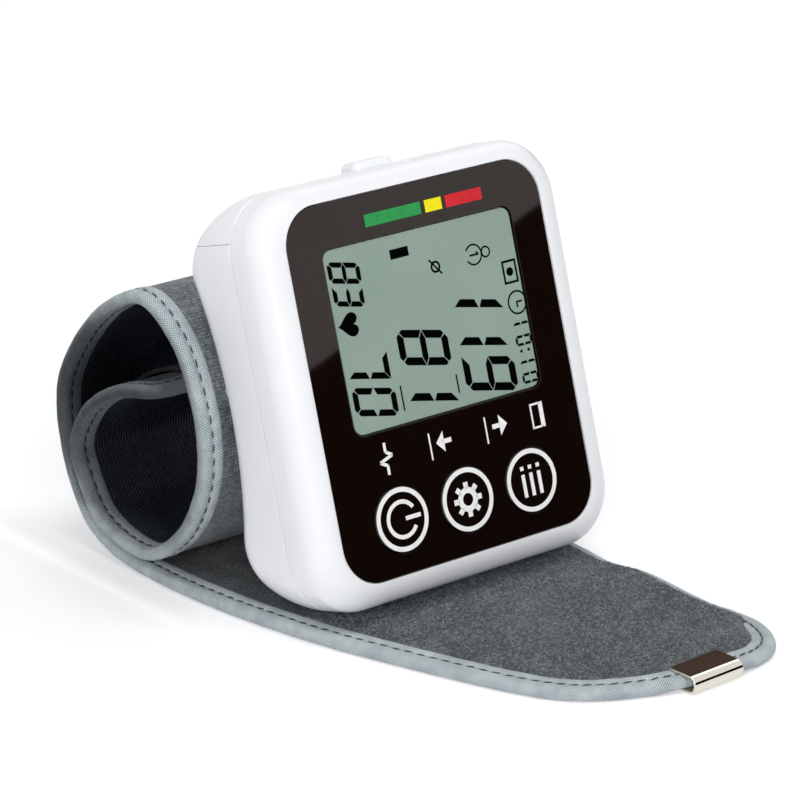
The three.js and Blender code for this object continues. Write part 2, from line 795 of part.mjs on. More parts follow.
addPiece(monitor, "cell_1", cellPiece(cell.lowerY, 1), cellLabel);
addPiece(monitor, "cell_2", cellPiece(cell.upperY, -1), cellLabel);
addPiece(
  monitor,
  "bridge_contact",
  contactPiece(-1, [{ y: cell.lowerY, spring: true }, { y: cell.upperY, spring: false }]),
  steel,
);
addPiece(monitor, "positive_contact", contactPiece(1, [{ y: cell.lowerY, spring: false }]), steel);
addPiece(monitor, "negative_contact", contactPiece(1, [{ y: cell.upperY, spring: true }]), steel);

// Pump, valve, sensor and air line

const cupStart = motor.endX + SEAT;
const cupEnd = cupStart + pump.cupLength;
const diaphragmEnd = cupEnd + SEAT + pump.diaphragm;
const coverEnd = diaphragmEnd + SEAT + pump.cover;

function motorPiece() {
  const can = bar(motor.radius, motor.endX - motor.length, motor.endX, air.y, -air.depth);
  const hole = bar(
    motor.shaftRadius + SEAT,
    motor.endX - motor.shaftGrip - SEAT,
    motor.endX + OVERRUN,
    air.y,
    -air.depth,
    SMALL_SIDES,
  );
  return cutBy(can, hole);
}

function crankPiece() {
  const discEnd = motor.endX + crank.reach;
  return joined(
    bar(motor.shaftRadius, motor.endX - motor.shaftGrip, discEnd - crank.thickness / 2, air.y, -air.depth, SMALL_SIDES),
    bar(crank.radius, discEnd - crank.thickness, discEnd, air.y, -air.depth),
    bar(
      crank.pinRadius,
      discEnd - crank.thickness / 2,
      discEnd + crank.pinLength,
      air.y + crank.throw,
      -air.depth,
      SMALL_SIDES,
    ),
  );
}

function pumpBlock(x0, x1) {
  const reach = pump.size / 2;
  return block(x0, x1, air.y - reach, air.y + reach, -air.depth - reach, -air.depth + reach);
}

function pumpCup() {
  const cavity = bar(pump.cavityRadius, cupStart - OVERRUN, cupEnd - pump.floor, air.y, -air.depth);
  return cutBy(pumpBlock(cupStart, cupEnd), cavity);
}

function pumpCover() {
  const barb = bar(air.barbRadius, coverEnd - SEAT, coverEnd + air.barb, air.y, -air.depth, SMALL_SIDES);
  return joined(pumpBlock(diaphragmEnd + SEAT, coverEnd), barb);
}

const manifoldReach = manifold.size / 2;

function manifoldPiece() {
  const { x } = manifold;
  const middle = block(
    x - manifoldReach,
    x + manifoldReach,
    air.y - manifoldReach,
    air.y + manifoldReach,
    -air.depth - manifoldReach,
    -air.depth + manifoldReach,
  );
  const out = manifoldReach + air.barb;
  return joined(
    middle,
    bar(air.barbRadius, x - out, x + out, air.y, -air.depth, SMALL_SIDES),
    rod(air.barbRadius, x, air.y, air.y + out, -air.depth, SMALL_SIDES),
    post(air.barbRadius, x, air.y, -air.depth, -air.depth + manifoldReach + air.stub, SMALL_SIDES),
  );
}

// The sensor hangs from the board over the manifold, joined to it by a short sleeve.
const sensorBack = partsFront - sensor.thickness;

function sensorPiece() {
  const { x } = manifold;
  const reach = sensor.size / 2;
  return joined(
    block(x - reach, x + reach, air.y - reach, air.y + reach, sensorBack, partsFront),
    post(air.barbRadius, x, air.y, sensorBack - air.stub, partsFront - sensor.thickness / 2, SMALL_SIDES),
  );
}

function valvePiece() {
  const can = rod(valve.radius, valve.x, valve.startY, valve.startY + valve.length, -air.depth);
  const barb = rod(air.barbRadius, valve.x, valve.startY - air.barb, valve.startY + SEAT, -air.depth, SMALL_SIDES);
  return joined(can, barb);
}

// The elbow that leads air out of the casing and into the cuff.
const nozzleBack = padFace + SEAT + strip.cloth + LAYER_GAP + strip.former;

function nozzlePiece() {
  const flangeBackZ = -(casing.waistDepth - casing.wall) + SEAT;
  const barbEnd = nozzle.y - nozzle.radius - air.barb;
  const pipe = joined(
    post(nozzle.radius, 0, nozzle.y, -nozzleBack, -nozzle.top),
    post(nozzle.flangeRadius, 0, nozzle.y, flangeBackZ, flangeBackZ + nozzle.flangeThickness),
    rod(air.barbRadius, 0, barbEnd, nozzle.y, -air.depth, SMALL_SIDES),
  );
  return cutBy(pipe, post(nozzle.bore, 0, nozzle.y, -nozzleBack - OVERRUN, -air.depth, SMALL_SIDES));
}

// A soft tube with its bore, along a route of points in the head's frame.
function tubePiece(route, steps) {
  const section = new THREE.Shape().absarc(0, 0, air.tubeRadius, 0, 2 * Math.PI);
  section.holes.push(new THREE.Path().absarc(0, 0, air.boreRadius, 0, 2 * Math.PI));
  const path = new THREE.CatmullRomCurve3(route.map((point) => new THREE.Vector3(...point)));
  return new THREE.ExtrudeGeometry(section, { extrudePath: path, steps, curveSegments: 4, bevelEnabled: false });
}

const STRAIGHT_TUBE_STEPS = 2;
const VALVE_TUBE_STEPS = 8;
const CUFF_TUBE_STEPS = 14;
const line = -air.depth;
const bendRadius = 2 * air.tubeRadius;
const sideStart = manifold.x + manifoldReach + SEAT;
const valveEnd = valve.startY - 2 * SEAT;
const manifoldEdge = air.y + manifoldReach;
const nozzleEdge = nozzle.y - nozzle.radius;
const tubes = [
  [
    "pump_tube",
    [[coverEnd + SEAT, air.y, line], [manifold.x - manifoldReach - SEAT, air.y, line]],
    STRAIGHT_TUBE_STEPS,
  ],
  [
    "valve_tube",
    [
      [sideStart, air.y, line],
      [sideStart + air.barb / 2, air.y, line],
      [valve.x - air.boreRadius, air.y + air.boreRadius, line],
      [valve.x, valveEnd - air.barb / 2, line],
      [valve.x, valveEnd, line],
    ],
    VALVE_TUBE_STEPS,
  ],
  [
    "sensor_sleeve",
    [[manifold.x, air.y, line + manifoldReach + SEAT], [manifold.x, air.y, sensorBack - SEAT]],
    STRAIGHT_TUBE_STEPS,
  ],
  [
    "cuff_tube",
    [
      [manifold.x, manifoldEdge + SEAT, line],
      [manifold.x, manifoldEdge + air.barb, line],
      [manifold.x - bendRadius, (manifoldEdge + nozzleEdge) / 2, line],
      [bendRadius, nozzleEdge - air.barb - bendRadius / 2, line],
      [0, nozzleEdge - air.barb, line],
      [0, nozzleEdge - SEAT, line],
    ],
    CUFF_TUBE_STEPS,
  ],
];

addPiece(monitor, "pump_motor", motorPiece(), steel);
addPiece(monitor, "pump_crank", crankPiece(), steel);
addPiece(monitor, "pump_cup", pumpCup(), darkPlastic);
addPiece(monitor, "pump_diaphragm", pumpBlock(cupEnd + SEAT, diaphragmEnd), softRubber);
addPiece(monitor, "pump_cover", pumpCover(), naturalPlastic);
addPiece(monitor, "air_manifold", manifoldPiece(), naturalPlastic);
addPiece(monitor, "pressure_sensor", sensorPiece(), darkPlastic);
addPiece(monitor, "release_valve", valvePiece(), steel);
addPiece(monitor, "cuff_nozzle", nozzlePiece(), naturalPlastic);
tubes.forEach(([name, route, steps]) => addPiece(monitor, name, tubePiece(route, steps), softRubber));

// Rivets through the cuff's cloth into the pad's bosses

function rivetPiece(x) {
  const headBack = -(padFace + SEAT + strip.cloth + LAYER_GAP + rivet.headThickness);
  return joined(
    post(rivet.headRadius, x, nozzle.y, headBack, headBack + rivet.headThickness),
    post(rivet.shankRadius, x, nozzle.y, headBack + rivet.headThickness / 2, headBack + rivet.grip, SMALL_SIDES),
  );
}
[-1, 1].forEach((side, index) => {
  addPiece(monitor, `cuff_rivet_${index + 1}`, rivetPiece(side * rivet.x), steel);
});

// The cuff strip's middle line, seen along the wrist: from the inner end, round the inner lap,
// up behind the casing, over the top, down the outer lap and out flat under the casing.

const halfStrip = strip.thickness / 2;
const seatPoint = new THREE.Vector3(0, nozzle.y, -(padFace + SEAT + halfStrip)).applyMatrix4(monitor.matrixWorld);
const rollFront = seatPoint.y - roll.frontBulge;

// Places in the roll, as shares of its depth and of its height.
const place = ([deep, high]) =>
  new THREE.Vector3(0, rollFront + deep * roll.depth, halfStrip + high * roll.height);
const innerEndShares = [
  [0.322, 0.671],
  [0.452, 0.653],
  [0.594, 0.617],
  [0.736, 0.551],
  [0.842, 0.466],
];
const outerLapShares = [
  [0.563, 0.956],
  [0.693, 0.885],
  [0.84, 0.763],
  [0.932, 0.657],
  [0.989, 0.557],
  [1, 0.438],
  [0.975, 0.322],
  [0.932, 0.226],
  [0.878, 0.15],
  [0.809, 0.082],
  [0.686, 0.032],
  [0.523, 0.006],
  [0.37, 0],
];
const liftShares = [
  [0.377, 0.07],
  [0.168, 0.19],
  [0.043, 0.347],
  [0, 0.477],
  [0.002, 0.597],
];
const crownShares = [
  [0.081, 0.796],
  [0.154, 0.888],
  [0.258, 0.962],
  [0.37, 1],
  [0.47, 0.993],
];

// Where the inner lap lies against the outer one, it follows it one strip further in.
const nestFirst = 6;
const nestLast = 11;

function nestedPlaces() {
  const outer = outerLapShares.map(place);
  const pitch = strip.thickness + roll.nestGap;
  return outer.slice(nestFirst, nestLast + 1).map((point, index) => {
    const before = outer[nestFirst + index - 1];
    const after = outer[nestFirst + index + 1];
    const along = after.clone().sub(before).normalize();
    const inward = new THREE.Vector3(0, along.z, -along.y);
    return point.clone().addScaledVector(inward, pitch);
  });
}

const tailLead = [
  new THREE.Vector3(0, (rollFront + tail.foldY) / 2, halfStrip),
  new THREE.Vector3(0, tail.foldY + tail.foldGap / 2, halfStrip),
];
const innerPlaces = innerEndShares.map(place);
const nested = nestedPlaces();
const lifted = liftShares.map(place);
const crowned = crownShares.map(place);
const outerLap = outerLapShares.map(place);
const pathPlaces = [...innerPlaces, ...nested, ...lifted, seatPoint, ...crowned, ...outerLap, ...tailLead];
const path = new THREE.CatmullRomCurve3(pathPlaces, false, "centripetal");
const lastPlace = pathPlaces.length - 1;
const seatPlace = innerPlaces.length + nested.length + lifted.length;
const outerStart = seatPlace + 1 + crowned.length;

// A station on the strip: its middle point and the way to its outer side.
function station(position) {
  const share = Math.min(1, Math.max(0, position / lastPlace));
  const along = path.getTangent(share);
  const point = path.getPoint(share);
  point.z = Math.max(halfStrip, point.z);
  return { point, outward: new THREE.Vector3(0, -along.z, along.y).normalize() };
}

// How far the tail is drawn in at a station, as a share: both edges follow the same curve.
function taperAt(point, position) {
  if (position < outerStart) return 0;
  const share = (tail.taperStartY - point.y) / (tail.taperStartY - tail.foldY);
  return Math.max(0, share) ** taperPower;
}

const PLACE_STEPS = 3;

// A piece of the strip between two places on the path. Its section is a list of points across it:
// a share of the way from the near edge to the far one, a distance from there, and an offset.
function stripBand(from, to, section) {
  const count = Math.round((to - from) * PLACE_STEPS);
  const rings = [];
  for (let step = 0; step <= count; step++) {
    const position = from + ((to - from) * step) / count;
    const { point, outward } = station(position);
    const taper = taperAt(point, position);
    const near = strip.nearX + tail.nearTaper * taper;
    const far = strip.farX - tail.farTaper * taper;
    rings.push(
      section.map(([share, inset, offset]) => {
        const x = near + (far - near) * share + inset;
        return new THREE.Vector3(x, 0, 0).add(point).addScaledVector(outward, offset);
      }),
    );
  }
  const middleOf = (ring) =>
    ring.reduce((sum, point) => sum.add(point), new THREE.Vector3()).divideScalar(ring.length);
  return solid(stacked(rings, middleOf(rings[0]), middleOf(rings[rings.length - 1])));
}

// A layer between two offsets, inset from both edges.
function layerSection(low, high, inset) {
  return [
    [0, inset, low],
    [1, -inset, low],
    [1, -inset, high],
    [0, inset, high],
  ];
}

// Folded tape over one edge, with its outer corners eased.
function tapeSection(share, away) {
  const width = away * strip.bindingWidth;
  const ease = away * strip.bindingChamfer;
  const flat = halfStrip - strip.bindingChamfer;
  const corners = [
    [share, width, -halfStrip],
    [share, width, halfStrip],
    [share, ease, halfStrip],
    [share, 0, flat],
    [share, 0, -flat],
    [share, ease, -halfStrip],
  ];
  return away > 0 ? corners : corners.reverse();
}

const besideTape = strip.bindingWidth + SEAT;
const clothInner = halfStrip - strip.cloth;
const formerOuter = clothInner - LAYER_GAP;
const formerInner = formerOuter - strip.former;
const bladderOuter = formerInner - LAYER_GAP;
const bladderInner = bladderOuter - strip.bladder;
const liningOuter = -halfStrip + strip.lining;

// The lining ends this many places down the outer lap.
const LINING_PLACE_COUNT = 8;
const liningEnd = outerStart + LINING_PLACE_COUNT;
const holeBack = -nozzleBack - OVERRUN;
const holeFront = -padFace + OVERRUN;
const holesInStrip = (extra) => {
  const radius = rivet.shankRadius + SEAT + extra;
  return [
    post(nozzle.radius + SEAT, 0, nozzle.y, holeBack, holeFront, SMALL_SIDES),
    ...[-1, 1].map((side) => post(radius, side * rivet.x, nozzle.y, holeBack, holeFront, SMALL_SIDES)),
  ];
};

// Moves a solid drawn in the head's frame to the bench.
function onBench(shape) {
  return solid(geometryOf(shape).applyMatrix4(monitor.matrixWorld));
}

const clothHoles = joined(...holesInStrip(0)).intersect(
  block(-strip.width, strip.width, -mountPad.height, mountPad.height, holeBack, holeFront),
);
const formerHoles = joined(...holesInStrip(rivet.headRadius - rivet.shankRadius));

// The tape over the strip's inner end reaches as far in as the tapes along its sides.
const endShare = strip.bindingWidth / innerPlaces[0].distanceTo(innerPlaces[1]);
const endGap = SEAT / innerPlaces[0].distanceTo(innerPlaces[1]);
const outerCloth = stripBand(endShare, lastPlace, layerSection(clothInner, halfStrip, besideTape));
addPiece(bench, "cuff_outer_cloth", cutBy(outerCloth, onBench(clothHoles)), fleeceCloth);
addPiece(
  bench,
  "cuff_lining",
  stripBand(endShare, liningEnd, layerSection(-halfStrip, liningOuter, besideTape)),
  liningCloth,
);
const former = stripBand(
  innerPlaces.length,
  outerStart,
  layerSection(formerInner, formerOuter, besideTape + strip.formerMargin),
);
addPiece(bench, "cuff_former", cutBy(former, onBench(formerHoles)), naturalPlastic);
addPiece(
  bench,
  "air_bladder",
  stripBand(innerPlaces.length + 1, outerStart - 1, layerSection(bladderInner, bladderOuter, strip.bladderMargin)),
  softRubber,
);
addPiece(
  bench,
  "pile_lead",
  stripBand(liningEnd + SEAT / 2, lastPlace, layerSection(-halfStrip, clothInner - LAYER_GAP, besideTape)),
  fleeceCloth,
);
addPiece(
  bench,
  "hook_patch",
  stripBand(
    HOOK_START_COUNT,
    innerPlaces.length - 1,
    layerSection(halfStrip + LAYER_GAP, halfStrip + LAYER_GAP + hookPatch.thickness, besideTape + hookPatch.margin),
  ),
  fleeceCloth,
);
addPiece(bench, "near_edge_tape", stripBand(0, lastPlace, tapeSection(0, 1)), bindingTape);
addPiece(bench, "far_edge_tape", stripBand(0, lastPlace, tapeSection(1, -1)), bindingTape);
addPiece(
  bench,
  "end_tape",
  stripBand(0, endShare - endGap, layerSection(-halfStrip, halfStrip, besideTape)),
  bindingTape,
);

// The tail: its outline from the near side of the fold, round the tip, to the far side,
// as shares of the strip's width and of the tail's length.

const tailShares = [
  [0.115, 0],
  [0.158, 0.181],
  [0.206, 0.374],
  [0.257, 0.562],
  [0.314, 0.725],
  [0.37, 0.818],
  [0.422, 0.87],
  [0.482, 0.915],
  [0.562, 0.963],
  [0.628, 0.991],
  [0.709, 1],
  [0.798, 0.998],
  [0.864, 0.987],
  [0.917, 0.957],
  [0.96, 0.896],
  [0.987, 0.809],
  [0.997, 0.723],
  [0.991, 0.647],
  [0.981, 0.538],
  [0.982, 0.417],
  [0.988, 0.278],
  [0.99, 0.148],
  [0.97, 0.062],
  [0.9587, 0],
];
const tailY = (share) => tail.foldY - tail.foldGap / 2 - share * tail.length;
const tailX = (share) => strip.nearX + share * strip.width;
const TAIL_STEPS = 56;

// The outline's points, moved inwards by a distance all along it.
function tailOutline(inward) {
  const places = tailShares.map(([across, along]) => new THREE.Vector3(tailX(across), tailY(along), 0));
  const curve = new THREE.CatmullRomCurve3(places, false, "centripetal");
  const points = [];
  for (let step = 0; step <= TAIL_STEPS; step++) {
    const share = step / TAIL_STEPS;
    const along = curve.getTangent(share);
    const point = curve.getPoint(share);
    points.push(new THREE.Vector2(point.x - along.y * inward, Math.min(tailY(0), point.y + along.x * inward)));
  }
  points[0].y = tailY(0);
  points[TAIL_STEPS].y = tailY(0);
  return points;
}

function tailSheet(inward, z0, z1) {
  const outline = new THREE.Shape(tailOutline(inward));
  const flat = new THREE.ExtrudeGeometry(outline, { depth: z1 - z0, bevelEnabled: false });
  flat.translate(0, 0, z0);
  return solid(flat);
}

const tapeEase = strip.bindingChamfer;
const clipY = tailY(1) - clip.sheet - SEAT + clip.depth / 2;

// A box on the clip's own axes, turned to the tip's edge.
function clipBlock(grow, x0, x1, y0, y1, z0, z1) {
  const box = new THREE.BoxGeometry(x1 - x0 + 2 * grow, y1 - y0 + 2 * grow, z1 - z0);
  box.translate((x0 + x1) / 2, (y0 + y1) / 2, (z0 + z1) / 2);
  box.rotateZ(clip.turn);
  box.translate(clip.x, clipY, 0);
  return solid(box);
}

const clipHalf = clip.length / 2;
const clipReach = clip.depth / 2;
const clipTop = strip.thickness + SEAT + clip.sheet;

// A strip of sheet bent round the tip's edge: its section, drawn across the edge.
function clipPiece() {
  const { sheet: gauge, bend } = clip;
  const quarter = Math.PI / 2;
  const section = new THREE.Shape();
  section.moveTo(clipReach, clipTop);
  section.absarc(bend - clipReach, clipTop - bend, bend, quarter, 2 * quarter);
  section.absarc(bend - clipReach, bend, bend, 2 * quarter, 3 * quarter);
  section.lineTo(clipReach, 0);
  section.lineTo(clipReach, gauge);
  section.absarc(bend - clipReach, bend, bend - gauge, 3 * quarter, 2 * quarter, true);
  section.absarc(bend - clipReach, clipTop - bend, bend - gauge, 2 * quarter, quarter, true);
  section.lineTo(clipReach, clipTop - gauge);
  const bent = new THREE.ExtrudeGeometry(section, {
    depth: clip.length,
    curveSegments: CORNER_STEPS,
    bevelEnabled: false,
  });
  bent.translate(0, 0, -clipHalf);
  bent.rotateX(quarter);
  bent.rotateZ(quarter + clip.turn);
  bent.translate(clip.x, clipY, 0);
  return solid(bent);
}

// Room under the tip for the clip's lower leg, which lies level with the cloth.
const clipRoom = clipBlock(SEAT, -clipHalf, clipHalf, -clipReach - OVERRUN, clipReach, -OVERRUN, clip.sheet + SEAT);
// Room before the edge for the clip's bend.
const clipFront = clipBlock(SEAT, -clipHalf, clipHalf, -clip.depth, -clipReach + clip.sheet, -OVERRUN, clipTop);

function tailTape() {
  const low = tailSheet(tapeEase, 0, strip.thickness);
  const middle = tailSheet(0, tapeEase, strip.thickness - tapeEase);
  const inside = tailSheet(strip.bindingWidth, -OVERRUN, strip.thickness + OVERRUN);
  return cutBy(joined(low, middle), inside, clipRoom, clipFront);
}

const clothTop = strip.cloth;
const pileBottom = clothTop + LAYER_GAP;
addPiece(bench, "tail_tape", tailTape(), bindingTape);
addPiece(bench, "tail_cloth", cutBy(tailSheet(besideTape, 0, clothTop), clipRoom), fleeceCloth);
addPiece(bench, "tail_pile", cutBy(tailSheet(besideTape, pileBottom, strip.thickness), clipRoom), fleeceCloth);
addPiece(bench, "tip_clip", clipPiece(), steel);

// The part's own frame has its origin on the table, under the middle of the whole.
const whole = new THREE.Group();
whole.add(bench);
whole.updateMatrixWorld(true);
const bounds = new THREE.Box3().setFromObject(whole, true);
bench.position.set(-(bounds.min.x + bounds.max.x) / 2, -(bounds.min.y + bounds.max.y) / 2, -bounds.min.z);

export default whole;
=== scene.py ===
# %% [markdown]
# # A wrist blood pressure monitor on its rolled cuff
#
# The object is a white plastic head that leans back on a cloth cuff. Behind the head the cuff is
# rolled up, and under it the cuff's tail lies out on the table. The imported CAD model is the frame:
# every piece made here sits where its solid sits and rides on the same body.
#
# Two sets of axes are used. The head has its own, in millimetres: x along the wrist, y up the face,
# z out of the face, from the middle of the window. The cuff is drawn on the bench, where x and y
# are the same as in the frame but for a small shift and z is the height over the table.

# %% Load the frame
import math
import random
from bisect import bisect

import bmesh
import bpy
from mathutils import Matrix, Vector, noise


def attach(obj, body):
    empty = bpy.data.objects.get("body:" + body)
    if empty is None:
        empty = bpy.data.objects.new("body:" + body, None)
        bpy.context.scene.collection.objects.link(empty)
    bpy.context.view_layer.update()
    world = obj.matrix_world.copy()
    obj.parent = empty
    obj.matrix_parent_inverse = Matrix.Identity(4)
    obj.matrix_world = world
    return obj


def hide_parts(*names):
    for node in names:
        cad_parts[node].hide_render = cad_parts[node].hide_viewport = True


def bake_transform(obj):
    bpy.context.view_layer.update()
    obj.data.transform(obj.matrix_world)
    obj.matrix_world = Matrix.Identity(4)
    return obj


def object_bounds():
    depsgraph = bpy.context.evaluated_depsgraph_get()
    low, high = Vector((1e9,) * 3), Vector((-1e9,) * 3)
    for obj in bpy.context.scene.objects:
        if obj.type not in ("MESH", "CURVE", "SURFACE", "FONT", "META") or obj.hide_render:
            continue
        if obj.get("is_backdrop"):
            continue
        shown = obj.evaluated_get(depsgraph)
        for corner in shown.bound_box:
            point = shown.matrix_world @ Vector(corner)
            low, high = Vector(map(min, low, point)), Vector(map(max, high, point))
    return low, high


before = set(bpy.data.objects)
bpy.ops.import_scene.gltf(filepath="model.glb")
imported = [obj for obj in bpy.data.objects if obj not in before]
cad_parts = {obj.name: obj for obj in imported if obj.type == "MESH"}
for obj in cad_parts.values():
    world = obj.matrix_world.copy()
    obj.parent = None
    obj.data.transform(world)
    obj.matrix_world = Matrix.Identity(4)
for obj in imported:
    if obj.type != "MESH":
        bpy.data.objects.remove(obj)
cad_low, cad_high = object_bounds()

# %% [markdown]
# ## Where the head and the cuff stand
#
# A matrix can hold the whole move from a drawing in millimetres to the frame in metres: a scale, a
# shift and, for the head, its lean. Each mesh is passed through it once, so that every object stays
# at the origin, unturned, with its place in its mesh.

# %% The two drawing boards
MM = 0.001
LEAN = math.radians(16.9)
MIDDLE = Vector((1.9, -2.2184, 41.1))
BENCH = Matrix.Scale(MM, 4) @ Matrix.Translation((MIDDLE.x, MIDDLE.y, 0))
HEAD = Matrix.Scale(MM, 4) @ Matrix.Translation(MIDDLE)
HEAD @= Matrix.Rotation(math.pi / 2 - LEAN, 4, "X")


def put(name, data):
    """An object of the scene that holds the data."""
    made = bpy.data.objects.new(name, data)
    bpy.context.scene.collection.objects.link(made)
    return made


# %% [markdown]
# ## The camera
#
# The photograph was taken with a long lens from the front left, a little above the window. The
# place and the focal length were solved from the window's corners and the three round keys, so the
# camera is set from three axes: to the right, up, and back towards the lens.

# %% Camera
RIGHT = Vector((0.7776, -0.6287, 0.0)).normalized()
BACK = Vector((-0.5893, -0.7289, 0.3484)).normalized()
UP = BACK.cross(RIGHT).normalized()
RIGHT = UP.cross(BACK).normalized()
eye = BACK * 659.34 + RIGHT * -7.273 + UP * -5.301 + MIDDLE
camera_data = bpy.data.cameras.new("camera")
camera_data.sensor_width = 36
camera_data.lens = 175.2
camera_data.clip_start, camera_data.clip_end = 0.01, 50
camera = put("camera", camera_data)
camera.matrix_world = Matrix.Translation(eye * MM) @ Matrix((RIGHT, UP, BACK)).transposed().to_4x4()
bpy.context.scene.camera = camera
print("camera at", [round(v, 4) for v in camera.location])

# %% [markdown]
# ## Materials: one way to add a node
#
# Blender draws a surface from nodes. One small function adds a node and feeds it what it is given,
# so each material reads as a short recipe. Colours are written as sRGB hex, as a picture shows
# them, and turned to the linear values that the renderer works in.

# %% Node and colour helpers
def linear(code):
    parts = [int(code[place : place + 2], 16) / 255 for place in (1, 3, 5)]
    return (*[c / 12.92 if c <= 0.04045 else ((c + 0.055) / 1.055) ** 2.4 for c in parts], 1.0)


def feed(owner, node, inputs):
    """Sets a node's inputs. Each is a number, a colour, or another node's output."""
    for name, value in inputs.items():
        if isinstance(value, bpy.types.NodeSocket):
            owner.node_tree.links.new(value, node.inputs[name])
        else:
            node.inputs[name].default_value = value


def add(owner, kind, inputs=None, **settings):
    """A node of that kind in a material or a world."""
    node = owner.node_tree.nodes.new(kind)
    for name, value in settings.items():
        setattr(node, name, value)
    feed(owner, node, inputs or {})
    return node


def sum_of(owner, first, second):
    return add(owner, "ShaderNodeMath", {0: first, 1: second}, operation="ADD").outputs[0]


def product(owner, first, second):
    return add(owner, "ShaderNodeMath", {0: first, 1: second}, operation="MULTIPLY").outputs[0]


def either(owner, first, second):
    return add(owner, "ShaderNodeMath", {0: first, 1: second}, operation="MAXIMUM").outputs[0]


def spread(owner, value, low, high):
    """A value that runs from 0 to 1, spread from low to high."""
    inputs = {"Value": value, "To Min": low, "To Max": high}
    return add(owner, "ShaderNodeMapRange", inputs).outputs["Result"]


def between(material, amount, stops):
    """Colours along a ramp: each stop is a place from 0 to 1 and a hex colour."""
    ramp = add(material, "ShaderNodeValToRGB", {"Fac": amount})
    points = ramp.color_ramp.elements
    while len(points) < len(stops):
        points.new(0.5)
    for point, (place, code) in zip(points, stops):
        point.position = place
        point.color = linear(code)
    return ramp.outputs["Color"]


def grain(material, size, detail=3.0, rough=0.6, distort=0.0):
    """Cloudy noise whose lumps are about size metres across, from 0 to 1."""
    place = add(material, "ShaderNodeTexCoord").outputs["Object"]
    inputs = {"Vector": place, "Scale": 1 / size, "Detail": detail, "Roughness": rough}
    return add(material, "ShaderNodeTexNoise", {**inputs, "Distortion": distort}).outputs["Fac"]


def bump(material, height, shader, depth, strength=1.0, under=None):
    """Pushes the shading in and out by depth metres where height goes from 0 to 1."""
    inputs = {"Height": height, "Distance": depth, "Strength": strength}
    if under is not None:
        inputs["Normal"] = under
    normal = add(material, "ShaderNodeBump", inputs).outputs["Normal"]
    feed(material, shader, {"Normal": normal})
    return normal


def new_material(name):
    """A material with its shader ready to be fed."""
    made = bpy.data.materials.new(name)
    made.use_nodes = True
    made.node_tree.nodes.clear()
    shader = add(made, "ShaderNodeBsdfPrincipled")
    add(made, "ShaderNodeOutputMaterial", {"Surface": shader.outputs["BSDF"]})
    return made, shader


def speckled(name, size, stops, inputs, relief=None, detail=3.0):
    """A plain coat whose colour wanders between stops. Relief is the size and depth of its grain."""
    made, shader = new_material(name)
    feed(made, shader, {"Base Color": between(made, grain(made, size, detail), stops), **inputs})
    if relief:
        bump(made, grain(made, relief[0]), shader, relief[1])
    return made


# %% [markdown]
# ## Plastics
#
# The casing is glossy white ABS, injection moulded in a polished tool: bright, slightly cool, with
# a faint waviness that only the highlights show. The window is a clear sheet printed black on its
# back, so it is as smooth as glass. A little noise in the roughness keeps both from looking like
# paint in a computer.

# %% Plastics
SMOOTH = 0.000002


def moulded(name, code, tint, roughness, wave=0.00002, ior=1.53):
    """A moulded plastic: nearly even colour, and a faint unevenness in the gloss."""
    made, shader = new_material(name)
    colour = between(made, grain(made, 0.012, 2.0), [(0.3, code), (0.7, tint)])
    gloss = spread(made, grain(made, 0.004), roughness * 0.85, roughness * 1.2)
    feed(made, shader, {"Base Color": colour, "Roughness": gloss, "IOR": ior})
    bump(made, grain(made, 0.009, 1.0), shader, wave, 0.5)
    return made


white_abs = moulded("gloss_white_abs", "#f6f8fc", "#fafbfe", 0.24)
key_black = moulded("gloss_black_key_top", "#140b08", "#120906", 0.06, SMOOTH)
dark_plastic = moulded("dark_moulded_plastic", "#2b2d30", "#2b2d30", 0.45)
natural_plastic = moulded("natural_nylon", "#dedbd0", "#d3cfc2", 0.5)
clear_rubber = moulded("silicone_rubber", "#d9dcd8", "#cfd3d0", 0.6)
window_black = moulded("back_printed_acrylic", "#140b08", "#120906", 0.03, SMOOTH, 1.49)
# the coat's reflections are a little warm
window_shader = window_black.node_tree.nodes["Principled BSDF"]
window_shader.inputs["Specular Tint"].default_value = (1.0, 0.9, 0.86, 1.0)

# %% [markdown]
# ## Print, glass and metal
#
# The print on the window is screen ink: flat colour with little gloss. The display is a grey green
# liquid crystal cell under a film, so it is a soft mirror with a very fine grain. The clip on the
# tail is bent from bright nickel-plated strip, which mirrors what is round it. Inside, the circuit
# board wears green solder mask over a weave of glass, and each dry cell a printed blue film.

# %% Print, glass and metal
def ink(name, code, darker, roughness, gloss):
    """Screen-printed ink: an even coat, a little thinner here and there."""
    inputs = {"Roughness": roughness, "Specular IOR Level": gloss}
    return speckled(name, 0.0012, [(0.35, darker), (0.6, code)], inputs, (0.0002, 0.000003))


ink_green = ink("green_screen_ink", "#2a9f50", "#269549", 0.35, 0.3)
ink_yellow = ink("yellow_screen_ink", "#fff312", "#fbe907", 0.35, 0.3)
ink_red = ink("red_screen_ink", "#dc2630", "#d3202b", 0.35, 0.3)
ink_white = ink("white_screen_ink", "#ffffff", "#f6f6f6", 0.4, 0.5)
# the segments lie in the liquid crystal, under the glass, and have no gloss of their own
segment_black = ink("display_segments", "#040505", "#060707", 0.7, 0.0)


def display_film():
    made, shader = new_material("display_glass_and_film")
    both = sum_of(made, grain(made, 0.02, 1.0), grain(made, 0.00025, 1.0))
    colour = between(made, product(made, both, 0.5), [(0.35, "#8ea297"), (0.65, "#9aada1")])
    feed(made, shader, {"Base Color": colour, "Roughness": 0.35, "Specular IOR Level": 0.25, "IOR": 1.5})
    return made


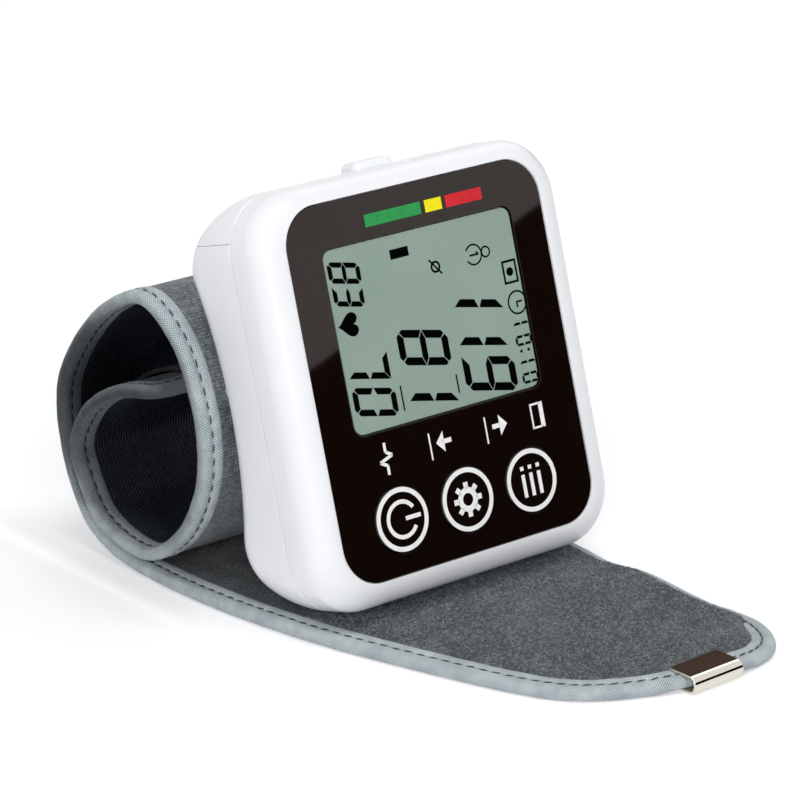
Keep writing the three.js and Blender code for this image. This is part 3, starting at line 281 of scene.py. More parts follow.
def plated(name, code, roughness):
    """Plated metal: it has no colour of its own but what it mirrors, and fine rolling marks."""
    made, shader = new_material(name)
    colour = between(made, grain(made, 0.003), [(0.3, code), (0.7, code)])
    gloss = spread(made, grain(made, 0.0006), roughness * 0.7, roughness * 1.4)
    feed(made, shader, {"Base Color": colour, "Roughness": gloss, "Metallic": 1.0})
    bump(made, grain(made, 0.002, 2.0), shader, 0.000015, 0.6)
    return made


display_cell = display_film()
nickel = plated("bright_nickel_plate", "#dcd6cb", 0.07)
steel = plated("zinc_plated_steel", "#b9bcc0", 0.3)
mask_greens = [(0.4, "#1f5a38"), (0.6, "#2d6f48")]
board_green = speckled("green_solder_mask", 0.0008, mask_greens, {"Roughness": 0.35}, (0.0006, 0.00003))
wrap_blues = [(0.45, "#33557e"), (0.55, "#3f679a")]
cell_wrap = speckled("printed_cell_wrap", 0.006, wrap_blues, {"Roughness": 0.3, "Metallic": 0.2}, detail=1.0)

# %% [markdown]
# ## Cloths
#
# Every cloth piece gets a UV map measured in metres: u runs across the strip and v along it. A
# pattern that reads that map follows the cloth round the roll as real threads do, and its scale is
# the real thread spacing. The binding tape is a bias weave with ribs about 0.35 mm apart. The
# lining is a black knit whose ribs run round the roll, 0.6 mm apart, with a painted highlight in a
# pale blue grey on the crest of each rib. The outer cloth is a looped knit, and the tail is brushed
# fleece for the hook patch to grip.

# %% Cloths
KNIT_PITCH = 0.0006


def ribs(material, pitch, wobble, along="X", turned=0.0):
    """Ribs with that pitch in metres on the cloth's own map, turned by so many degrees.

    They run from 0 in the groove to 1 on the crest.
    """
    uv = add(material, "ShaderNodeUVMap", uv_map="cloth").outputs["UV"]
    spin = (0, 0, math.radians(turned))
    place = add(material, "ShaderNodeMapping", {"Vector": uv, "Rotation": spin}).outputs["Vector"]
    inputs = {"Vector": place, "Scale": 2 * math.pi / 20 / pitch, "Distortion": wobble}
    made = add(
        material,
        "ShaderNodeTexWave",
        {**inputs, "Detail": 1.0, "Detail Scale": 1.5},
        wave_type="BANDS",
        bands_direction=along,
        wave_profile="SIN",
    )
    return made.outputs["Fac"]


def blended(material, first, share, second, other_share):
    return sum_of(material, product(material, first, share), product(material, second, other_share))


def binding_cloth():
    made, shader = new_material("woven_binding_tape")
    warp, weft = ribs(made, 0.00038, 0.8, turned=52), ribs(made, 0.00034, 0.8, turned=-38)
    weave = blended(made, warp, 0.6, weft, 0.4)
    mixed = blended(made, weave, 0.5, grain(made, 0.0035, 5.0, 0.7), 0.5)
    colour = between(made, mixed, [(0.25, "#78858c"), (0.5, "#aeb9be"), (0.76, "#e2e9ea")])
    sheen = {"Sheen Weight": 0.15, "Sheen Roughness": 0.4}
    feed(made, shader, {"Base Color": colour, "Roughness": 0.85, **sheen})
    lumps = bump(made, grain(made, 0.0025, 3.0), shader, 0.0004, 0.7)
    bump(made, weave, shader, 0.00007, 0.7, lumps)
    return made


def lining_cloth():
    made, shader = new_material("black_ribbed_lining")
    knit = blended(made, ribs(made, KNIT_PITCH, 0.7), 0.82, ribs(made, KNIT_PITCH, 0.8, "Y"), 0.06)
    rubbed = sum_of(made, grain(made, 0.012, 3.0), -0.5)
    shade = sum_of(made, knit, product(made, rubbed, 0.5))
    # the crests of the ribs reach the pale blue grey stop: a painted highlight on each rib, over the lining's
    # own near black
    colour = between(made, shade, [(0.3, "#090a0f"), (0.6, "#1d222c"), (0.92, "#7a859a")])
    feed(made, shader, {"Base Color": colour, "Roughness": 0.6, "Specular IOR Level": 0.15})
    bump(made, knit, shader, 0.00025)
    return made


def looped_cloth():
    made, shader = new_material("dark_grey_loop_knit")
    knit = blended(made, ribs(made, KNIT_PITCH, 2.5), 0.5, ribs(made, KNIT_PITCH, 2.5, "Y"), 0.5)
    patches = product(made, grain(made, 0.008, 2.0), 0.4)
    fuzz = sum_of(made, grain(made, 0.0008, 5.0, 0.75), patches)
    mixed = blended(made, knit, 0.15, fuzz, 0.62)
    colour = between(made, mixed, [(0.36, "#3b4147"), (0.5, "#666d73"), (0.64, "#969da2")])
    feed(made, shader, {"Base Color": colour, "Roughness": 0.95, "Sheen Weight": 0.2})
    bump(made, mixed, shader, 0.0004, 0.9)
    return made


def brushed_fleece():
    made, shader = new_material("brushed_grey_fleece")
    tufts = grain(made, 0.00045, 5.0, 0.8, distort=0.5)
    mixed = blended(made, tufts, 0.75, grain(made, 0.008, 2.0), 0.25)
    colour = between(made, mixed, [(0.42, "#1f2427"), (0.5, "#4a5054"), (0.58, "#80888d")])
    feed(made, shader, {"Base Color": colour, "Roughness": 1.0, "Sheen Weight": 0.2, "Sheen Roughness": 0.6})
    bump(made, tufts, shader, 0.0006)
    return made


def loose_hairs():
    """The nap on the fleece: every hair has a grey of its own, so the surface glitters finely."""
    made, shader = new_material("raised_grey_nap")
    hair_number = add(made, "ShaderNodeNewGeometry").outputs["Random Per Island"]
    colour = between(made, hair_number, [(0.0, "#353b3f"), (0.5, "#687075"), (1.0, "#b4bcc0")])
    feed(made, shader, {"Base Color": colour, "Roughness": 1.0, "Sheen Weight": 0.2})
    return made


def nylon(name, code, darker):
    """Twisted or moulded nylon, as in thread and in hooks."""
    return speckled(name, KNIT_PITCH, [(0.4, darker), (0.6, code)], {"Roughness": 0.8}, (0.0002, 0.00004))


tape_grey = binding_cloth()
lining_black = lining_cloth()
outer_grey = looped_cloth()
fleece_grey = brushed_fleece()
nap_grey = loose_hairs()
thread_grey = nylon("dark_sewing_thread", "#4a5358", "#383f44")
hook_black = nylon("nylon_hooks", "#3c4145", "#24282b")

# %% [markdown]
# ## Making a piece
#
# Every piece ends the same way. Its mesh is moved from the drawing board to the frame, its normals
# are made to point out, it gets its finish, it is told which body it rides on, and the CAD solids
# that it stands for are hidden.

# %% Piece helpers
def edge_ring(bm, points):
    """A closed loop of edges through the points, and a number on each vertex to find it by."""
    number = bm.verts.layers.int.get("number") or bm.verts.layers.int.new("number")
    made = bmesh.ops.create_circle(bm, cap_ends=False, segments=len(points), radius=1)["verts"]
    for place, (vertex, point) in enumerate(zip(made, points)):
        vertex[number] = place
        vertex.co = point
    chosen = set(made)
    return [edge for edge in bm.edges if edge.verts[0] in chosen and edge.verts[1] in chosen]


def extrude_to(bm, edges, points):
    """Extrudes a loop of edges and moves the new loop to the points."""
    number = bm.verts.layers.int["number"]
    made = bmesh.ops.extrude_edge_only(bm, edges=edges)["geom"]
    fresh = {item for item in made if isinstance(item, bmesh.types.BMVert)}
    for vertex in fresh:
        vertex.co = points[vertex[number]]
    new_edges = [item for item in made if isinstance(item, bmesh.types.BMEdge)]
    return [edge for edge in new_edges if edge.verts[0] in fresh and edge.verts[1] in fresh]


def loft(bm, rings):
    """A skin through closed rings of equal count. Returns its first and its last loop of edges."""
    first = edge_ring(bm, rings[0])
    last = first
    for ring in rings[1:]:
        last = extrude_to(bm, last, ring)
    return first, last


def ease_edges(bm, edges, offset, segments):
    """Rounds the edges off."""
    bmesh.ops.bevel(
        bm, geom=list(edges), offset=offset, segments=segments, affect="EDGES", profile=0.5, material=-1
    )


def mesh_of(name, bm):
    """The bmesh as a mesh. The bmesh is used up."""
    mesh = bpy.data.meshes.new(name)
    bm.to_mesh(mesh)
    bm.free()
    return mesh


def batched(count, size, make_one):
    """Makes count small shapes, a batch at a time: operators slow down as a mesh grows."""
    whole = bmesh.new()
    for start in range(0, count, size):
        batch = bmesh.new()
        for number in range(start, min(count, start + size)):
            make_one(batch, number)
        mesh = mesh_of("batch", batch)
        whole.from_mesh(mesh)
        bpy.data.meshes.remove(mesh)
    return whole


def finish_piece(name, bm, board, body, finishes, stands_for=(), slot=None, sharp=40, outward=True):
    """The bmesh as an object in the frame, riding on its body."""
    if outward:
        bmesh.ops.recalc_face_normals(bm, faces=bm.faces[:])
    bm.transform(board)
    mesh = mesh_of(name, bm)
    for finish in finishes:
        mesh.materials.append(finish)
    mesh.shade_smooth()
    mesh.set_sharp_from_angle(angle=math.radians(sharp))
    piece = put(name, mesh)
    if sharp < 90:
        # flat faces keep their own normals, so that only the rounds between them are shaded round
        piece.modifiers.new("flat_faces_stay_flat", "WEIGHTED_NORMAL").keep_sharp = True
    if body:
        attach(piece, body)
    if stands_for:
        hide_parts(*stands_for)
    print(f"{name}: {len(mesh.polygons)} faces")
    return piece


# %% [markdown]
# ## The casing's outline
#
# Seen from the front the head is a rectangle with round corners. Each ring of its skin is that
# outline, drawn in by some amount and at some depth, so a whole shell is a list of rings that the
# loft joins. The long sides get many points, because the back is hollowed along the wrist and has
# to bend there.

# %% Outline of the head
HALF_WIDTH, TOP, BOTTOM, CORNER = 32.8, 35.3, 36.5, 10.0
SEAM, RIM, FRONT_ROUND, WALL, SEAM_GAP = 8.5, 0.3, 5.0, 1.8, 0.12
WAIST_DEPTH, RIDGE_DEPTH, RIDGE_REACH = 19.6, 23.8, 22.8
SIDE_ROUND, END_ROUND_DEPTH, END_ROUND_REACH = 4.9, 14.0, 11.2
CORNER_POINTS, SIDE_POINTS = 14, 26


def rounded(half_width, top, bottom, corner, z=0.0):
    """Points round a rectangle with round corners, always as many, anticlockwise from the right."""
    x, high, low = half_width - corner, top - corner, corner - bottom
    middles = [(x, high), (-x, high), (-x, low), (x, low)]

    def on_corner(side, turns):
        x, y = middles[side % 4]
        angle = math.pi / 2 * turns
        return Vector((x + corner * math.cos(angle), y + corner * math.sin(angle), z))

    points = []
    for side in range(4):
        last = CORNER_POINTS - 1
        points += [on_corner(side, side + step / last) for step in range(CORNER_POINTS)]
        start, stop = points[-1], on_corner(side + 1, side + 1)
        points += [start.lerp(stop, step / SIDE_POINTS) for step in range(1, SIDE_POINTS)]
    return points


def case_ring(inset, z, corner_in=None):
    """The casing's outline drawn in by inset. Its corners shrink half as fast unless told."""
    corner = CORNER - (inset / 2 if corner_in is None else corner_in)
    return rounded(HALF_WIDTH - inset, TOP - inset, BOTTOM - inset, corner, z)


# %% [markdown]
# ## Front shell
#
# The front shell is a frame round the window: a side wall, a generous round to a narrow flat rim, a
# step down into the pocket that the window sheet is glued in, and a ledge behind the sheet. Walking
# once round that section, outside and back inside, gives a closed shell with a real wall. The edge
# at the seam is eased, so that the joint between the shells shows as a fine line.

# %% Front shell
WINDOW_HALF, WINDOW_TOP, WINDOW_CORNER, SHEET, SEAT = 27.35, 32.0, 7.0, 1.6, 0.12
LEDGE_HALF, LEDGE_TOP, LEDGE_CORNER, LEDGE_THICK = 25.0, 29.6, 3.0, 1.7
EASE, SEAM_EASE = 0.15, 0.1
WHITE = {"finishes": [white_abs], "slot": "gloss_white_abs"}


def window_ring(grow, z):
    return rounded(WINDOW_HALF + grow, WINDOW_TOP + grow, WINDOW_TOP + grow, WINDOW_CORNER + grow, z)


def outside_by(x, y, inset):
    """Distance from a place to the outline that is drawn in by inset, less than 0 inside it."""
    corner = CORNER - inset / 2
    middle, half = (TOP - BOTTOM) / 2, (TOP + BOTTOM) / 2
    dx = abs(x) - (HALF_WIDTH - inset - corner)
    dy = abs(y - middle) - (half - inset - corner)
    return math.hypot(max(dx, 0), max(dy, 0)) + min(max(dx, dy), 0) - corner


def front_height(x, y):
    """Height of the rounded front at a place: how far in it lies tells where it is on the round."""
    low, high = 0.0, FRONT_ROUND
    for _ in range(24):
        inset = (low + high) / 2
        low, high = (inset, high) if outside_by(x, y, inset) < 0 else (low, inset)
    lean = 1 - low / FRONT_ROUND
    return RIM - FRONT_ROUND * (1 - math.sqrt(max(0.0, 1 - lean * lean)))


def front_shell_rings():
    rings = [case_ring(SEAM_EASE, -SEAM), case_ring(0, -SEAM + SEAM_EASE), case_ring(0, -SEAM + 1.5)]
    steps = 16
    edge = window_ring(SEAT + EASE, 0)
    for step in range(steps + 1):
        share = 1 - math.cos(math.pi / 2 * step / steps)
        ring = [a.lerp(b, share) for a, b in zip(case_ring(0, 0), edge)]
        rings.append([Vector((v.x, v.y, front_height(v.x, v.y))) for v in ring])
    pocket, rim = window_ring(SEAT, 0), rings[-1]
    floor = -SHEET - SEAT
    rings += [[Vector((v.x, v.y, top.z - EASE)) for v, top in zip(pocket, rim)], window_ring(SEAT, floor)]
    for z in (floor, floor - LEDGE_THICK):
        rings.append(rounded(LEDGE_HALF, LEDGE_TOP, LEDGE_TOP, LEDGE_CORNER, z))
    return rings + [case_ring(WALL, floor - LEDGE_THICK, WALL), case_ring(WALL, -SEAM, WALL)]


bm = bmesh.new()
first, last = loft(bm, front_shell_rings())
bmesh.ops.bridge_loops(bm, edges=first + last)
finish_piece("front_shell_skin", bm, HEAD, "head", stands_for=["front_shell"], sharp=50, **WHITE)

# %% [markdown]
# ## Back of the casing
#
# The back is one form that is cut into the rear shell and the battery cap. Its sides round over
# tightly and its two ends in long soft curves, and the middle is hollowed to lie on a wrist. The
# skin is lofted once, cut with a plane at the cap's edge, and each half is then given its wall.

# %% Form of the back
def back_depth(y):
    return WAIST_DEPTH + (RIDGE_DEPTH - WAIST_DEPTH) * min(1, (y / RIDGE_REACH) ** 2)


def drawn_in(height, depth, reach):
    """How far a round of that depth and reach draws the outline in, at a height from the back."""
    share = max(0.0, (depth - height) / depth)
    return reach * (1 - math.sqrt(max(0.0, 1 - share * share)))


def back_ring(side_in, end_in, z, share=1.0):
    """A ring of the back, shrunk to a share of its size, its depth scaled by the waist's."""
    corner = CORNER - max(side_in, end_in) / 2
    placed = []
    for point in rounded(HALF_WIDTH - side_in, TOP - end_in, BOTTOM - end_in, corner):
        y = point.y * share
        reach = (back_depth(y) - SEAM) / (RIDGE_DEPTH - SEAM)
        placed.append(Vector((point.x * share, y, -SEAM + (z + SEAM) * reach)))
    return placed


def back_rings():
    top = SEAM + SEAM_GAP
    rings = [case_ring(SEAM_EASE, -top), case_ring(0, -top - SEAM_EASE)]
    levels = 22
    for step in range(1, levels + 1):
        z = -SEAM - (RIDGE_DEPTH - SEAM) * math.sin(math.pi / 2 * step / levels)
        if z > -top - 2 * EASE:
            continue
        height = RIDGE_DEPTH + z
        side_in = drawn_in(height, SIDE_ROUND, SIDE_ROUND)
        end_in = drawn_in(height, END_ROUND_DEPTH, END_ROUND_REACH)
        rings.append(back_ring(side_in, end_in, z))
    for share in (0.9, 0.78, 0.64, 0.5, 0.35, 0.2, 0.08):
        rings.append(back_ring(SIDE_ROUND, END_ROUND_REACH, -RIDGE_DEPTH, share))
    return rings


CAP_EDGE, HALF_CAP_GAP = 28.3, 0.04


def cut_back(above, at):
    """The back's skin above or below a height on the face."""
    bm = bmesh.new()
    _, last = loft(bm, back_rings())
    bmesh.ops.contextual_create(bm, geom=last)
    bmesh.ops.recalc_face_normals(bm, faces=bm.faces[:])
    bmesh.ops.bisect_plane(
        bm,
        geom=bm.verts[:] + bm.edges[:] + bm.faces[:],
        plane_co=(0, at, 0),
        plane_no=(0, 1, 0),
        clear_inner=above,
        clear_outer=not above,
    )
    return bm


def give_wall(bm, thickness):
    """Thickens a skin inwards, whichever way the operator counts it."""
    centre = sum((v.co for v in bm.verts), Vector()) / len(bm.verts)
    facing = sum((f.calc_center_median() - centre).dot(f.normal) for f in bm.faces)
    if facing < 0:
        bmesh.ops.reverse_faces(bm, faces=bm.faces[:])
    bmesh.ops.solidify(bm, geom=bm.faces[:], thickness=thickness)


# %% [markdown]
# ## Rear shell
#
# The lower part of the back, with what shows when the cap is off: the walls, floor and roof of the
# cell bay. Four screws go in from behind through wells, which are cut with a boolean, because a
# round hole through a curved skin is just what that tool is for. A flat pad at the waist carries
# the cuff.

# %% Rear shell
SCREWS = [(-27.8, 3.0), (-27.8, -26.0), (27.8, 3.0), (27.8, -26.0)]
SCREW_HOLE, WELL_RADIUS, WELL_DEPTH, WELL_MIDDLE, WELL_WALL = 2.2, 2.25, 7.4, -17.6, 0.8
# corners of the cell bay's two side walls, its floor and its roof
BAY = [
    ((-26.5, 8.6, -22.4), (-25.5, 28.1, -7.6)),
    ((25.5, 8.6, -22.4), (26.5, 28.1, -7.6)),
    ((-26.5, 8.6, -22.0), (26.5, 9.6, -7.6)),
    ((-26.5, 8.6, -8.4), (26.5, 28.1, -7.6)),
]
CUFF_PAD = (-18, -5, -20.7), (18, 5, -18.5)


def box(bm, middle, size):
    """A block, and its edges."""
    place = Matrix.Translation(middle) @ Matrix.Diagonal((*size, 1))
    made = bmesh.ops.create_cube(bm, size=1, matrix=place)["verts"]
    return {edge for vertex in made for edge in vertex.link_edges}


def box_between(bm, low, high, ease=0.0):
    """A block between two corners, its edges eased if asked."""
    middle = [(a + b) / 2 for a, b in zip(low, high)]
    edges = box(bm, middle, [b - a for a, b in zip(low, high)])
    if ease:
        ease_edges(bm, edges, ease, 3)


def tube(bm, x, y, radius, middle, depth, solid):
    """A cylinder along the face's axis, with its ends closed or open. Returns its vertices."""
    place = Matrix.Translation((x, y, middle))
    made = bmesh.ops.create_cone(
        bm, cap_ends=solid, segments=40, radius1=radius, radius2=radius, depth=depth, matrix=place
    )
    return made["verts"]


def drilled(bm, holes):
    """The bmesh with a hole through its back at each place."""
    blank = put("blank", mesh_of("blank", bm))
    cutters = []
    for x, y in holes:
        bm = bmesh.new()
        tube(bm, x, y, SCREW_HOLE, -22.0, 16.0, True)
        cutters.append(put("cutter", mesh_of("cutter", bm)))
        boolean = blank.modifiers.new("carve", "BOOLEAN")
        boolean.operation, boolean.solver, boolean.object = "DIFFERENCE", "EXACT", cutters[-1]
    evaluated = blank.evaluated_get(bpy.context.evaluated_depsgraph_get())
    result = bmesh.new()
    result.from_mesh(evaluated.to_mesh())
    for used in [blank, *cutters]:
        bpy.data.objects.remove(used)
    return result


bm = cut_back(False, CAP_EDGE - HALF_CAP_GAP)
give_wall(bm, WALL)
bm = drilled(bm, SCREWS)
for x, y in SCREWS:
    # the well behind each screw hole, open to the back
    wall = tube(bm, x, y, WELL_RADIUS, WELL_MIDDLE, WELL_DEPTH, False)
    faces = list({face for vertex in wall for face in vertex.link_faces})
    bmesh.ops.reverse_faces(bm, faces=faces)
    bmesh.ops.solidify(bm, geom=faces, thickness=-WELL_WALL)
for low, high in BAY:
    box_between(bm, low, high)
box_between(bm, *CUFF_PAD, 0.3)
SKIN = {"sharp": 35, "outward": False, **WHITE}
finish_piece("rear_shell_skin", bm, HEAD, "head", stands_for=["rear_shell"], **SKIN)

# %% [markdown]
# ## Battery cap
#
# The cap is the top end of the same skin. It slides up off the rear shell, and a low rounded tab on
# its top gives the thumb a hold. Two tongues inside guide it.

# %% Battery cap
TAB_MIDDLE, TAB_SIZE, TAB_ROUND = (2.4, 35.05, -14), (8.6, 2.9, 5.2), 1.4
TONGUE_IN, TONGUE_OUT, HOOK_OUT = 28.7, 29.9, 30.7

bm = cut_back(True, CAP_EDGE + HALF_CAP_GAP)
give_wall(bm, WALL)
# the tab is a low long swelling on the cap's top, flat above and rounded all round
upper = [edge for edge in box(bm, TAB_MIDDLE, TAB_SIZE) if max(v.co.y for v in edge.verts) > 35]
ease_edges(bm, upper, TAB_ROUND, 10)
for side in (-1, 1):
    for out, bottom, ease in ((TONGUE_OUT, 24.3, EASE), (HOOK_OUT, 28.6, 0.0)):
        low, high = sorted((side * TONGUE_IN, side * out))
        box_between(bm, (low, bottom, -15.4), (high, 30.3, -9.1), ease)
finish_piece("battery_cap_skin", bm, HEAD, "battery_cap", stands_for=["battery_cap"], **SKIN)

# %% [markdown]
# ## Flat pieces and print
#
# The window sheet, the printed bars, the rings on the keys and the display's segments are all flat
# outlines with a thickness. An outline is filled as a flat face, holes and all, and then extruded.
# On the head, writing runs down the face: its up is the head's x, and its right is minus y.

# %% Flat outlines
def fill_outlines(bm, outlines, z0, z1):
    """Fills a flat outline, with holes if more than one is given, and extrudes it to a plate."""
    edges = [edge for outline in outlines for edge in edge_ring(bm, [(x, y, z0) for x, y in outline])]
    made = bmesh.ops.triangle_fill(bm, use_beauty=True, use_dissolve=False, edges=edges)["geom"]
    faces = [item for item in made if isinstance(item, bmesh.types.BMFace)]
    raised = bmesh.ops.extrude_face_region(bm, geom=faces, use_keep_orig=True)["geom"]
    moved = [item for item in raised if isinstance(item, bmesh.types.BMVert)]
    bmesh.ops.translate(bm, vec=(0, 0, z1 - z0), verts=moved)


def circle(x, y, radius, count):
    angles = [2 * math.pi * step / count for step in range(count)]
    return [(x + radius * math.cos(a), y + radius * math.sin(a)) for a in angles]


def written(across, up):
    """A place in writing, right and up in millimetres, on the head's x and y."""
    return (up, -across)


def flat(points):
    return [(point.x, point.y) for point in points]


# %% [markdown]
# ## Window sheet
#
# One glossy sheet covers the face. The display shows through an opening, and each key through a
# round hole. Its outer edge is eased a little where it meets the casing.

# %% Window sheet
KEY_ROW, KEY_PITCH, KEY_MIDDLE, KEY_RADIUS, KEY_PLAY = -22.7, 14.3, -0.2, 5.7, 0.12
KEYS = [("power_key", KEY_MIDDLE - KEY_PITCH), ("set_key", KEY_MIDDLE), ("memory_key", KEY_MIDDLE + KEY_PITCH)]
OPENING_MIDDLE, OPENING_HALF_WIDTH, OPENING_HALF_HEIGHT, OPENING_CORNER = 8.5, 20.5, 16, 2

bm = bmesh.new()
opening = flat(rounded(OPENING_HALF_WIDTH, OPENING_HALF_HEIGHT, OPENING_HALF_HEIGHT, OPENING_CORNER))
holes = [circle(x, KEY_ROW, KEY_RADIUS + KEY_PLAY, 64) for _, x in KEYS]
fill_outlines(bm, [flat(window_ring(0, 0)), [(x, y + OPENING_MIDDLE) for x, y in opening], *holes], -SHEET, 0)
bmesh.ops.recalc_face_normals(bm, faces=bm.faces[:])
in_front = [edge for edge in bm.edges if all(abs(v.co.z) < 1e-6 for v in edge.verts)]
rims = [edge for edge in in_front if len(edge.link_faces) == 2 and edge.calc_face_angle() > 1]
ease_edges(bm, rims, 0.08, 2)
GLOSS_BLACK = "gloss_black_acrylic"
finish_piece("window_sheet_gloss", bm, HEAD, "head", [window_black], ["window_sheet"], GLOSS_BLACK, 15)

# %% [markdown]
# ## Printed scale of three colours
#
# Above the display is a bar in green, yellow and red that tells a low reading from a high one. The
# ink is a layer a few hundredths of a millimetre thick.

# %% Printed bars
INK = 0.03
SCALE_LEFT, SCALE_RIGHT = -28.55, -26.45


def bar_outline(left, right, low, high):
    return [written(*corner) for corner in ((left, low), (right, low), (right, high), (left, high))]


for name, finish, up0, up1 in (
    ("scale_bar_green", ink_green, -10.5, 1.5),
    ("scale_bar_yellow", ink_yellow, 2.45, 6.1),
    ("scale_bar_red", ink_red, 6.95, 14.9),
):
    bm = bmesh.new()
    fill_outlines(bm, [bar_outline(SCALE_LEFT, SCALE_RIGHT, up0, up1)], -INK, INK)
    finish_piece(name, bm, HEAD, "head", [finish])

# %% [markdown]
# ## Signs
#
# The signs on the window and on the display are drawn from a few strokes: a straight stroke, an
# arc, a ring. What the real object writes in words is left out. Where a sign helps to tell the
# readings apart, a plain arrow, a calendar or a pulse line stands in its place.

# %% Strokes
def stroke(start, stop, width):
    """A straight stroke between two places in writing."""
    (x0, y0), (x1, y1) = start, stop
    length = math.hypot(x1 - x0, y1 - y0)
    px, py = -(y1 - y0) / length * width / 2, (x1 - x0) / length * width / 2
    corners = ((x0 + px, y0 + py), (x0 - px, y0 - py), (x1 - px, y1 - py), (x1 + px, y1 + py))
    return [written(*corner) for corner in corners]


def arc(across, up, radius, width, start, stop, count=40):
    """A curved stroke, its angles in degrees from the right, in writing."""
    angles = [math.radians(start + (stop - start) * step / count) for step in range(count + 1)]
    sides = [
        [(across + reach * math.cos(a), up + reach * math.sin(a)) for a in angles]
        for reach in (radius + width / 2, radius - width / 2)
    ]
    return [written(*point) for point in sides[0] + sides[1][::-1]]


def plates(name, outlines, z, body, finish, thick=INK):
    """Many flat signs as one piece. An outline may be a pair: a shape and the hole in it."""
    bm = bmesh.new()
    for outline in outlines:
        loops = outline if isinstance(outline, tuple) else [outline]
        fill_outlines(bm, loops, z - thick, z + thick)
    finish_piece(name, bm, HEAD, body, [finish])


def ring(across, up, radius, width, count=64):
    x, y = written(across, up)
    return (circle(x, y, radius + width / 2, count), circle(x, y, radius - width / 2, count))


# %% [markdown]
# ## Signs by the readings
#
# Four small white signs stand between the display and the keys, each level with its reading.

# %% Signs by the readings
def reading_signs():
    signs = []
    # a calendar, level with the time
    signs += [stroke((10.0, 19.2), (14.4, 19.2), 0.9), stroke((10.0, 17.0), (14.4, 17.0), 0.35)]
    signs += [stroke((10.17, 19.2), (10.17, 17.0), 0.35), stroke((14.23, 19.2), (14.23, 17.0), 0.35)]
    # an arrow up for the upper reading and one down for the lower
    for middle, way in ((9.7, 1), (-2.6, -1)):
        tip = middle + way * 1.7
        signs.append([written(10.2, middle), written(13.8, middle), written(12.0, tip)])
        signs.append(stroke((12.0, middle + way * 0.3), (12.0, middle - way * 1.6), 0.8))
        signs.append(stroke((10.0, middle - 3.0), (14.6, middle - 3.0), 0.32))
    # a pulse line
    line = [(9.4, -15.1), (11.0, -15.1), (11.7, -13.8), (12.6, -16.5), (13.3, -15.1), (14.9, -15.1)]
    signs += [stroke(a, b, 0.55) for a, b in zip(line, line[1:])]
    return signs


plates("reading_signs", reading_signs(), 0, "head", ink_white)

# %% [markdown]
# ## Keys
#
# Each key is a round black button that stands half a millimetre out of the sheet, on a flange and a
# stem that press the switch behind it. It is turned like a lathe part: a half section, spun once
# round. A white ring is printed on it, with a sign for what it does: on and off, set, and recall.

# %% Keys
KEY_TOP = 0.5
KEY_SECTION = [
    (0, KEY_TOP), (4.9, KEY_TOP), (5.35, 0.44), (5.6, 0.28), (5.7, 0.02), (5.7, -1.88), (6.55, -1.92),
    (6.6, -2.0), (6.6, -2.55), (2.0, -2.6), (2.0, -3.2), (0, -3.2),
]


def turned(section, x, y):
    """Spins a half section, radius and height, once round an axis along the head's z."""
    bm = bmesh.new()
    made = [bm.verts.new((x + radius, y, z)) for radius, z in section]
    made += [bm.edges.new(pair) for pair in zip(made, made[1:])]
    bmesh.ops.spin(
        bm, geom=made, cent=(x, y, 0), axis=(0, 0, 1), angle=2 * math.pi, steps=72, use_merge=True
    )
    bmesh.ops.remove_doubles(bm, verts=bm.verts[:], dist=1e-4)
    return bm


def power_sign(across, up):
    return [arc(across, up, 3.0, 0.72, 122, 418), stroke((across, up + 0.7), (across, up + 3.9), 0.72)]


def set_sign(across, up):
    """A small cog wheel."""
    teeth = []
    for tooth in range(8):
        angle = math.radians(45 * tooth)
        near = (across + 1.9 * math.cos(angle), up + 1.9 * math.sin(angle))
        far = (across + 3.0 * math.cos(angle), up + 3.0 * math.sin(angle))
        teeth.append(stroke(near, far, 0.95))
    return [ring(across, up, 1.6, 1.0, 40), *teeth]


def recall_sign(across, up):
    """Three lines of a list with their dots."""
    lines = []
    for row in (-1.75, 0, 1.75):
        lines.append(stroke((across - 1.3, up + row), (across + 2.7, up + row), 0.75))
        lines.append(stroke((across - 2.7, up + row), (across - 2.0, up + row), 0.75))
    return lines


SIGNS = {"power_key": power_sign, "set_key": set_sign, "memory_key": recall_sign}
for name, x in KEYS:
    bm = turned(KEY_SECTION, x, KEY_ROW)
    finish_piece(name + "_button", bm, HEAD, name, [key_black], [name], GLOSS_BLACK, 30)
    place = -KEY_ROW, x
    plates(name + "_print", [ring(*place, 5.05, 0.82), *SIGNS[name](*place)], KEY_TOP, name, ink_white)

# %% [markdown]
# ## Digits of the display
#
# A liquid crystal display shows each digit with up to seven bars, slightly slanted. A digit is
# given by a box in writing and by which of its bars are dark.

# %% Seven bars to a digit
BARS = {"0": "abcdef", "1": "bc", "3": "abcdg", "7": "abc", "8": "abcdefg", "9": "abcdfg"}


